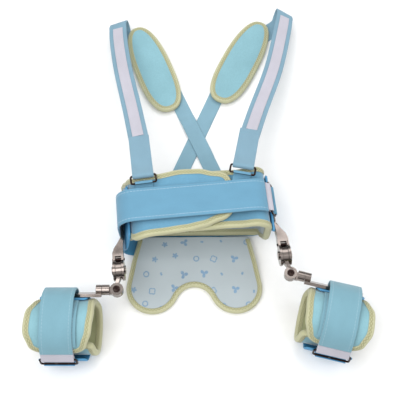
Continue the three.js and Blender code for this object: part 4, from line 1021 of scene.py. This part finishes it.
class BRACE_OT_seat_pad(BraceMaker):
    """Heart-shaped printed seat pad and its binding"""
    bl_idname = "brace.seat_pad"
    bl_label = "Seat pad"

    def make(self, cloth, sizes):
        outline, notch_q, side, aim = seat_outline()
        reach = outline[:, 0].max()
        join = LOBE_SPREAD * NOTCH_RADIUS / (LOBE_RADIUS + NOTCH_RADIUS)
        start = np.array((SEAT_TOP, SEAT_EDGE))
        lobe_start = side[-1, 0]

        def lobe(p):
            return np.sqrt(np.maximum(LOBE_RADIUS ** 2 - (p - LOBE_SPREAD) ** 2, 0))

        def low(p):
            p = np.abs(p)
            on_side = start[1] + (p - start[0]) * np.tan(aim)
            above = np.where(p < lobe_start, on_side, LOBE_DROP - lobe(p))
            return np.where(p <= SEAT_TOP, SEAT_EDGE, above)

        def high(p):
            p = np.abs(p)
            notch = notch_q - np.sqrt(np.maximum(NOTCH_RADIUS ** 2 - p ** 2, 0))
            return np.maximum(np.where(p < join, notch, LOBE_DROP + lobe(p)), low(p) + 1.0)

        angle = np.linspace(0, np.pi / 2, 90)
        p = reach * np.sin(angle) * 0.9995
        p = np.unique(np.concatenate([-p, p]))
        pad = slab("padded_seat", seat_lay, p, low, high, PAD_WALL, ["seat_pad"], "lining", [cloth["lining"]],
                   crown=sizes.fullness, ripple=wander(sizes.creases, 62, 85, 0.4), across=40, ends=0.6)
        binding("bound_seat", seat_lay, outline[1:-1], ["seat_pad_binding"], "binding", cloth["binding"],
                leg=0.8 * sizes.binding_leg, wall=PAD_WALL + 0.6, pitch=sizes.stitch_pitch, joined=False)


class BRACE_OT_harness(BraceMaker):
    """Shoulder straps with their light stripes, rings and tabs, and the straps that cross at the back"""
    bl_idname = "brace.harness"
    bl_label = "Shoulder harness"

    def make(self, cloth, sizes):
        for side, row in HARNESS.items():
            self.make_strap(side, row, cloth, sizes)
        for side, other in (("left", "right"), ("right", "left")):
            self.make_back_strap(side, HARNESS[side], HARNESS[other], cloth)

    def make_strap(self, side, row, cloth, sizes):
        bar = np.array((*row["ring"], RING_Z), float)
        rows = np.array(row["rows"], float)
        way = unit(rows[0] - bar)
        across = across_of(heading(bar, rows[0]))
        up = unit(np.cross(across, way))
        off = lambda s, h: bar + way * s + up * h
        fold = WIRE / 2 + CLEARANCE + HARNESS_WALL / 2
        apart = (HARNESS_WALL + CLEARANCE) / 2 + LOOSE
        curve = through(np.vstack([off(16, -apart), off(40, -apart), off(FOLD_BACK - 3, -apart), rows]))
        run = curve[np.round(np.linspace(0, len(curve) - 1, 29)).astype(int)]
        before = np.vstack([run[:1], run[:-1]])
        after = np.vstack([run[1:], run[-1:]])
        run_across = np.array([across_of(heading(a, b)) for a, b in zip(before, after)])
        land, hem = np.array((*row["land"], 0.0)), np.array((*row["hem"], 0.0))
        back = across_of(heading(hem, land))
        turn = 0.5 * smooth(np.linspace(0, 1, len(run)), 0.7, 1)[:, None]
        run_across = unit(run_across * (1 - turn) + back * turn)
        crest = rows[-1]
        table = HARNESS_WALL / 2 + LOOSE
        bend = (FOLD_HEIGHT - table) / 2
        t = np.linspace(0, 1, 8)[1:, None]
        back_turn = crest * (1 - t) + land * t + heading(rows[-2], crest) * bend * np.sin(np.pi * t)
        back_turn[:, 2] = (table + bend * (1 + np.cos(np.pi * t)))[:, 0]
        turn_across = unit(run_across[-1] * (1 - t) + back * t)
        hem_stops = np.array([land + (hem - land) * s + (0, 0, table) for s in (0.5, 1)])
        folded = [off(FOLD_BACK, apart), off(40, apart), off(16, apart), off(7, (apart + fold) / 2)]
        folded += [off(fold * np.cos(r), fold * np.sin(r)) for r in np.radians((90, 135, 180, 225, 270))]
        folded += [off(7, -(apart + fold) / 2)]
        stops = np.vstack([folded, run, back_turn, hem_stops])
        wide = np.vstack([np.tile(across, (len(folded), 1)), run_across, turn_across, back, back])
        path, carried = through(stops, wide, 5)
        lay, length = path_lay(path, carried)
        slab(f"woven_{side}_shoulder_strap", lay, length, -HARNESS_WIDTH / 2, HARNESS_WIDTH / 2, HARNESS_WALL,
             [f"{side}_shoulder_strap"], "strap_blue", [cloth["shoulder"]], across=10,
             ripple=wander(0.2 * sizes.creases, 48, 40, 1.3))

        tangent = np.gradient(run, axis=0)
        lifted = run + unit(np.cross(run_across, tangent)) * (HARNESS_WALL / 2 + CLEARANCE + STRIPE_WALL / 2)
        reach = np.linalg.norm(run - bar, axis=1)
        start = FOLD_BACK + 2 * CLEARANCE
        begin = int(np.argmax(reach > start))
        part = (start - reach[begin - 1]) / (reach[begin] - reach[begin - 1])
        first = lifted[begin - 1] * (1 - part) + lifted[begin] * part
        path, carried = through(np.vstack([first, lifted[begin:-1]]), run_across[begin - 1:-1], 5)
        ribbon_lay, length = path_lay(path, carried)
        slab(f"woven_{side}_stripe", ribbon_lay, length, -STRIPE_WIDTH / 2, STRIPE_WIDTH / 2, STRIPE_WALL,
             [f"{side}_strap_stripe"], "hook_tape", [cloth["stripe"]], across=6)

        head = heading(bar, rows[0])
        low = bar + head * (WIRE - RING_RISE)
        wire_ring(f"bent_{side}_shoulder_ring", (bar + low) / 2, across, head,
                  HARNESS_WIDTH / 2 + CLEARANCE + 2, (RING_RISE - WIRE) / 2, [f"{side}_shoulder_ring"],
                  cloth["wire"])
        tab_fold = WIRE / 2 + CLEARANCE + TAB_WALL / 2
        under = WAIST_DEPTH - SHELL_WALL - PAD_GAP + CLEARANCE + TAB_WALL / 2 + BINDING_WALL + CLEARANCE
        stops = [(-RING_TAB_LENGTH, under - low[2]), (-WIRE, under - low[2])]
        turn = np.radians((-90, -45, 0, 45, 90, 135))
        stops += list(tab_fold * np.stack([np.cos(turn), np.sin(turn)], 1))
        stops = [low + head * s + np.array((0, 0, h)) for s, h in stops]
        ribbon(f"woven_{side}_ring_tab", stops, across, RING_TAB_WIDTH, TAB_WALL, [f"{side}_ring_tab"],
               "waist_blue", cloth["waist_tab"])

    def make_back_strap(self, side, row, other, cloth):
        table = HARNESS_WALL / 2
        start, end = (np.array((*row[k], table)) for k in ("tail", "end"))
        other_start, other_end = (np.array((*other[k], table)) for k in ("tail", "end"))
        way, other_way, gap = end - start, other_end - other_start, other_start - start
        crossing = (gap[0] * other_way[1] - gap[1] * other_way[0]) / (
            way[0] * other_way[1] - way[1] * other_way[0])
        flat = BACK_STRAP_WIDTH / np.linalg.norm(way)
        lift = row["over"] * (HARNESS_WALL + CLEARANCE)
        t = np.linspace(0, 1, 70)
        height = lift * smooth(1.9 * flat - np.abs(t - crossing), 0, 0.65 * flat)
        stops = start + t[:, None] * way + height[:, None] * (0, 0, 1)
        ribbon(f"woven_{side}_back_strap", stops, across_of(heading(start, end)), BACK_STRAP_WIDTH,
               HARNESS_WALL, [f"{side}_back_strap"], "strap_blue", cloth["back"], each=2)


class BRACE_OT_shoulder_pads(BraceMaker):
    """Oval pads behind the shoulders with their bindings"""
    bl_idname = "brace.shoulder_pads"
    bl_label = "Shoulder pads"

    def make(self, cloth, sizes):
        long, wide, taper, round_to = SHOULDER_PAD
        bottom = HARNESS_WALL + 2 * LOOSE + CLEARANCE + BINDING_WALL + CLEARANCE
        angle = np.linspace(0, np.pi, 61)
        c, s = np.cos(angle), np.sin(angle)
        y = long / 2 * np.sign(c) * np.abs(c) ** round_to
        half = wide / 2 * np.abs(s) ** round_to * (1 - taper * c)
        order = np.argsort(y)
        y, half = y[order], np.maximum(half[order], 0.4)
        for side, row in HARNESS.items():
            lay = flat_lay(row["pad"], row["turn"], bottom + PAD_WALL / 2)
            edge = lambda a: np.interp(a, y, half)
            pad = slab(f"padded_{side}_shoulder_pad", lay, y, lambda a: -edge(a), edge, PAD_WALL,
                       [f"{side}_shoulder_pad"], "pad_teal", [cloth["pad"]], crown=1.2 * sizes.fullness,
                       across=20, ripple=wander(0.5 * sizes.creases, 70, 50, 0.9))
            binding(f"bound_{side}_shoulder_pad", lay, strip_outline(y, -half, half),
                    [f"{side}_shoulder_pad_binding"], "binding", cloth["binding"],
                    leg=0.9 * sizes.binding_leg, pitch=sizes.stitch_pitch)


class BRACE_OT_hip_irons(BraceMaker):
    """Steel uprights, hinges, arms, swivels and thigh bars, with their edges broken and polished"""
    bl_idname = "brace.hip_irons"
    bl_label = "Hip irons"

    def make(self, cloth, sizes):
        for side in THIGHS:
            for piece in ("hip_upright", "hinge_screw", "lower_arm", "swivel_barrel", "thigh_bar"):
                machined(f"{side}_{piece}", "steel", cloth["steel"], sizes.broken_edge)
            for piece in ("stop_screw", "abduction_screw"):
                machined(f"{side}_{piece}", "wire", cloth["wire"], 0.25)


class BRACE_OT_thigh_cuffs(BraceMaker):
    """Moulded troughs, padded wraps with bindings, straps, hook tapes, rings and tabs of both thighs"""
    bl_idname = "brace.thigh_cuffs"
    bl_label = "Thigh cuffs"

    def make(self, cloth, sizes):
        for side in THIGHS:
            self.make_cuff(side, cloth, sizes)
            self.make_closure(side, cloth, sizes)

    def make_cuff(self, side, cloth, sizes):
        place = thigh_place(side)
        near, far, start, end = CUFF_SHELL
        arc = CUFF_RADIUS - CUFF_SHELL_WALL / 2
        shell = lambda a, b, h: on_cuff(b, arc + h, np.degrees(a / arc))
        a = np.radians(np.linspace(start, end, 80)) * arc
        corner = lambda s: rounded_ends(s, a[0], a[-1], SHELL_CORNER)
        slab(f"moulded_{side}_cuff_shell", shell, a, lambda s: near + corner(s), lambda s: far - corner(s),
             CUFF_SHELL_WALL, [f"{side}_cuff_shell"], "shell_blue", [cloth["shell"]], place=place)

        middle = CUFF_RADIUS - CUFF_SHELL_WALL - PAD_GAP - PAD_WALL / 2
        degrees = lambda s: np.degrees(s / middle)
        radius = lambda angle: middle - PANEL_DROP * (1 - smooth(angle, *CUFF_RISE))
        wrap = lambda s, b, h: on_cuff(b, radius(degrees(s)) + h, degrees(s))
        first, last = (np.radians(v) * middle for v in CUFF_WRAP)
        a = fine_ends(first, last, 2.4, (0, 0.3, 1, 2, 3.5, 5, 7, 9, 10))
        low = lambda s: eased(degrees(s), CUFF_ROWS, 1) + rounded_ends(s, first, last, CUFF_CORNER)
        high = lambda s: eased(degrees(s), CUFF_ROWS, 2) - rounded_ends(s, first, last, CUFF_CORNER)
        pad = slab(f"padded_{side}_cuff", wrap, a, low, high, PAD_WALL, [f"{side}_cuff_liner"], "pad_teal",
                   [cloth["pad"], cloth["inner"]], place=place, across=20)
        binding(f"bound_{side}_cuff", wrap, strip_outline(a, low(a), high(a)), [f"{side}_cuff_binding"],
                "binding", cloth["binding"], place=place, leg=sizes.binding_leg, pitch=sizes.stitch_pitch)

    def make_closure(self, side, cloth, sizes):
        place = thigh_place(side)
        x, across = CUFF_STRAP_X, np.array((1.0, 0.0, 0.0))
        strap_radius = lambda angle: eased(angle, CUFF_STRAP_ROWS)
        stop = lambda r, angle, shift=0: on_cuff(x + shift, r, angle)
        angles = np.array((-30, -17, -5, 5, 15, 26, 34, 42, 52, 64, 77, 90, 105, 120, 136, CUFF_STRAP_END))
        ribbon(f"woven_{side}_cuff_strap", [stop(strap_radius(g), g) for g in angles], across,
               CUFF_STRAP_WIDTH, STRAP_WALL, [f"{side}_cuff_strap"], "strap_blue", cloth["cuff_strap"],
               place=place, columns=14, ripple=wander(0.15 * sizes.creases, 33, 45, 0.2))

        front = strap_radius(CUFF_STRAP_END)
        inner = front - STRAP_WALL / 2 - CLEARANCE - TAPE_WALL / 2
        fold = WIRE / 2 + CLEARANCE + TAPE_WALL / 2
        bar = on_cuff(x, inner + fold, CUFF_RING_ANGLE)
        round_bar = lambda *turn: bar_turn(*turn, (0, 1, 0))
        stops = [stop(front, CUFF_STRAP_END + 1), stop(front, CUFF_STRAP_END + 7)]
        stops += round_bar(bar, fold, CUFF_RING_ANGLE, (0, 45, 90, 135, 180))
        stops += [stop(inner, g) for g in (160, 150, CUFF_TAPE_END + 2)]
        ribbon(f"woven_{side}_cuff_hook_tape", stops, across, CUFF_STRAP_WIDTH, TAPE_WALL,
               [f"{side}_cuff_hook_tape"], "hook_tape", cloth["hook"], place=place)
        tail = np.linspace(CUFF_TAPE_END + 1, 44, 12)
        ribbon(f"woven_{side}_cuff_strap_tail", [stop(inner, g, CUFF_TAIL_SHIFT) for g in tail], across,
               CUFF_STRAP_WIDTH, TAPE_WALL, [f"{side}_cuff_strap_tail"], "strap_blue", cloth["cuff_strap"],
               place=place)

        tab_fold = WIRE / 2 + CLEARANCE + TAB_WALL / 2
        tab_radius = CUFF_RADIUS + CLEARANCE + TAB_WALL / 2
        low_angle = CUFF_RING_ANGLE + CUFF_RING_SPREAD
        low = on_cuff(x, tab_radius + tab_fold, low_angle)
        way = bar - low
        wire_ring(f"bent_{side}_cuff_ring", (bar + low) / 2, across, unit(way),
                  CUFF_STRAP_WIDTH / 2 + CLEARANCE + 2, np.linalg.norm(way) / 2, [f"{side}_cuff_ring"],
                  cloth["wire"], place=place)
        stops = [stop(tab_radius, low_angle + g) for g in (26, 14, 5)]
        stops += round_bar(low, tab_fold, low_angle + 180, (0, -45, -90, -135, -180))
        stops += [stop(tab_radius + 2 * tab_fold - 0.6, low_angle + 5)]
        ribbon(f"woven_{side}_cuff_ring_tab", stops, across, CUFF_STRAP_WIDTH - 2, TAB_WALL,
               [f"{side}_cuff_ring_tab"], "shell_blue", cloth["shell"], place=place)


class BRACE_OT_stage(bpy.types.Operator):
    """Pale floor, soft studio light and the camera"""
    bl_idname = "brace.stage"
    bl_label = "Stage"
    bl_options = {"REGISTER", "UNDO"}

    def execute(self, context):
        stage = context.scene.brace_stage
        mesh = bpy.data.meshes.new("floor")
        size = 4.0
        corners = [(-size, -size, 0), (size, -size, 0), (size, size, 0), (-size, size, 0)]
        mesh.from_pydata(corners, [], [(0, 1, 2, 3)])
        # Matt white paper backdrop, with a faint fibre that breaks its evenness
        material, add, shader = new_material("white backdrop paper", Roughness=0.95)
        place = add("TexCoord").outputs["Object"]
        fibre = add("TexNoise", {"Vector": place, "Scale": 60.0})
        tone = add("Mix", {0: fibre, 6: linear("#F4F4F4"), 7: linear("#F9F9F9")},
                        data_type="RGBA").outputs[2]
        set_sockets(shader, {"Base Color": tone})
        mesh.materials.append(material)
        floor = bpy.data.objects.new("floor", mesh)
        context.scene.collection.objects.link(floor)
        floor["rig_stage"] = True

        world = bpy.data.worlds.new("studio")
        world.use_nodes = True
        # Bright overhead and dark towards the horizon, so that polished steel shows dark streaks; the
        # camera itself sees white
        tree = world.node_tree
        way = add_node(tree, "TexCoord").outputs["Generated"]
        up = add_node(tree, "SeparateXYZ", (way,)).outputs[2]
        sky = add_node(tree, "MapRange", (up, 0.2, 0.65, 0.06, 0.92))
        seen = add_node(tree, "LightPath")
        sky = add_node(tree, "Mix", {0: seen, 2: sky, 3: 1.0}, data_type="FLOAT")
        set_sockets(tree.nodes["Background"], (linear("#FFFFFF"), sky))
        context.scene.world = world
        lights = (
            ("key", (-0.5, -0.35, 1.3), 0.9, stage.key_power),
            ("fill", (0.8, -0.3, 0.9), 1.1, 0.35 * stage.key_power),
            ("top", (0.1, 0.7, 1.2), 0.8, 0.45 * stage.key_power),
        )
        for name, place, size, power in lights:
            light = bpy.data.lights.new(name, "AREA")
            light.shape = "SQUARE"
            light.size = size
            light.energy = power
            lamp = bpy.data.objects.new(name, light)
            lamp.location = place
            away = Vector(place) - Vector((0, 0.05, 0.05))
            lamp.rotation_euler = away.to_track_quat("Z", "Y").to_euler()
            context.scene.collection.objects.link(lamp)

        camera = bpy.data.cameras.new("camera")
        camera.sensor_width = 36
        camera.lens = stage.lens
        eye = bpy.data.objects.new("camera", camera)
        turn, rise = np.radians((stage.turn, stage.rise))
        back = Vector((np.sin(turn) * np.cos(rise), -np.cos(turn) * np.cos(rise), np.sin(rise)))
        eye.location = Vector((0.006, 0.022, 0.050)) + back * stage.distance
        eye.rotation_euler = back.to_track_quat("Z", "Y").to_euler()
        context.scene.collection.objects.link(eye)
        context.scene.camera = eye
        context.scene.view_settings.view_transform = "Standard"
        return {"FINISHED"}


class BRACE_PT_panel(bpy.types.Panel):
    """Lists the brace's sizes, colours and makers in the sidebar"""
    bl_idname = "BRACE_PT_panel"
    bl_label = "Hip abduction brace"
    bl_space_type = "VIEW_3D"
    bl_region_type = "UI"
    bl_category = "Brace"

    def draw(self, context):
        for group in (context.scene.brace_sizes, context.scene.brace_colours, context.scene.brace_stage):
            box = self.layout.box()
            for name in group.__annotations__:
                box.prop(group, name)
        for maker in MAKERS:
            self.layout.operator(maker.bl_idname)


GROUPS = (BraceSizes, BraceColours, BraceStage)
MAKERS = (
    BRACE_OT_waist_band, BRACE_OT_waist_closure, BRACE_OT_seat_pad, BRACE_OT_harness,
    BRACE_OT_shoulder_pads, BRACE_OT_hip_irons, BRACE_OT_thigh_cuffs, BRACE_OT_stage,
)


def register():
    for item in (*GROUPS, *MAKERS, BRACE_PT_panel):
        bpy.utils.register_class(item)
    bpy.types.Scene.brace_sizes = PointerProperty(type=BraceSizes)
    bpy.types.Scene.brace_colours = PointerProperty(type=BraceColours)
    bpy.types.Scene.brace_stage = PointerProperty(type=BraceStage)


def unregister():
    del bpy.types.Scene.brace_sizes
    del bpy.types.Scene.brace_colours
    del bpy.types.Scene.brace_stage
    for item in reversed((*GROUPS, *MAKERS, BRACE_PT_panel)):
        bpy.utils.unregister_class(item)


def main():
    register()
    for maker in MAKERS:
        group, name = maker.bl_idname.split(".")
        getattr(getattr(bpy.ops, group), name)()
    boxes = {"cad": [list(corner) for corner in CAD_BOX], "visual": [list(corner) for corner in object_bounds()]}


if __name__ == "__main__":
    main()
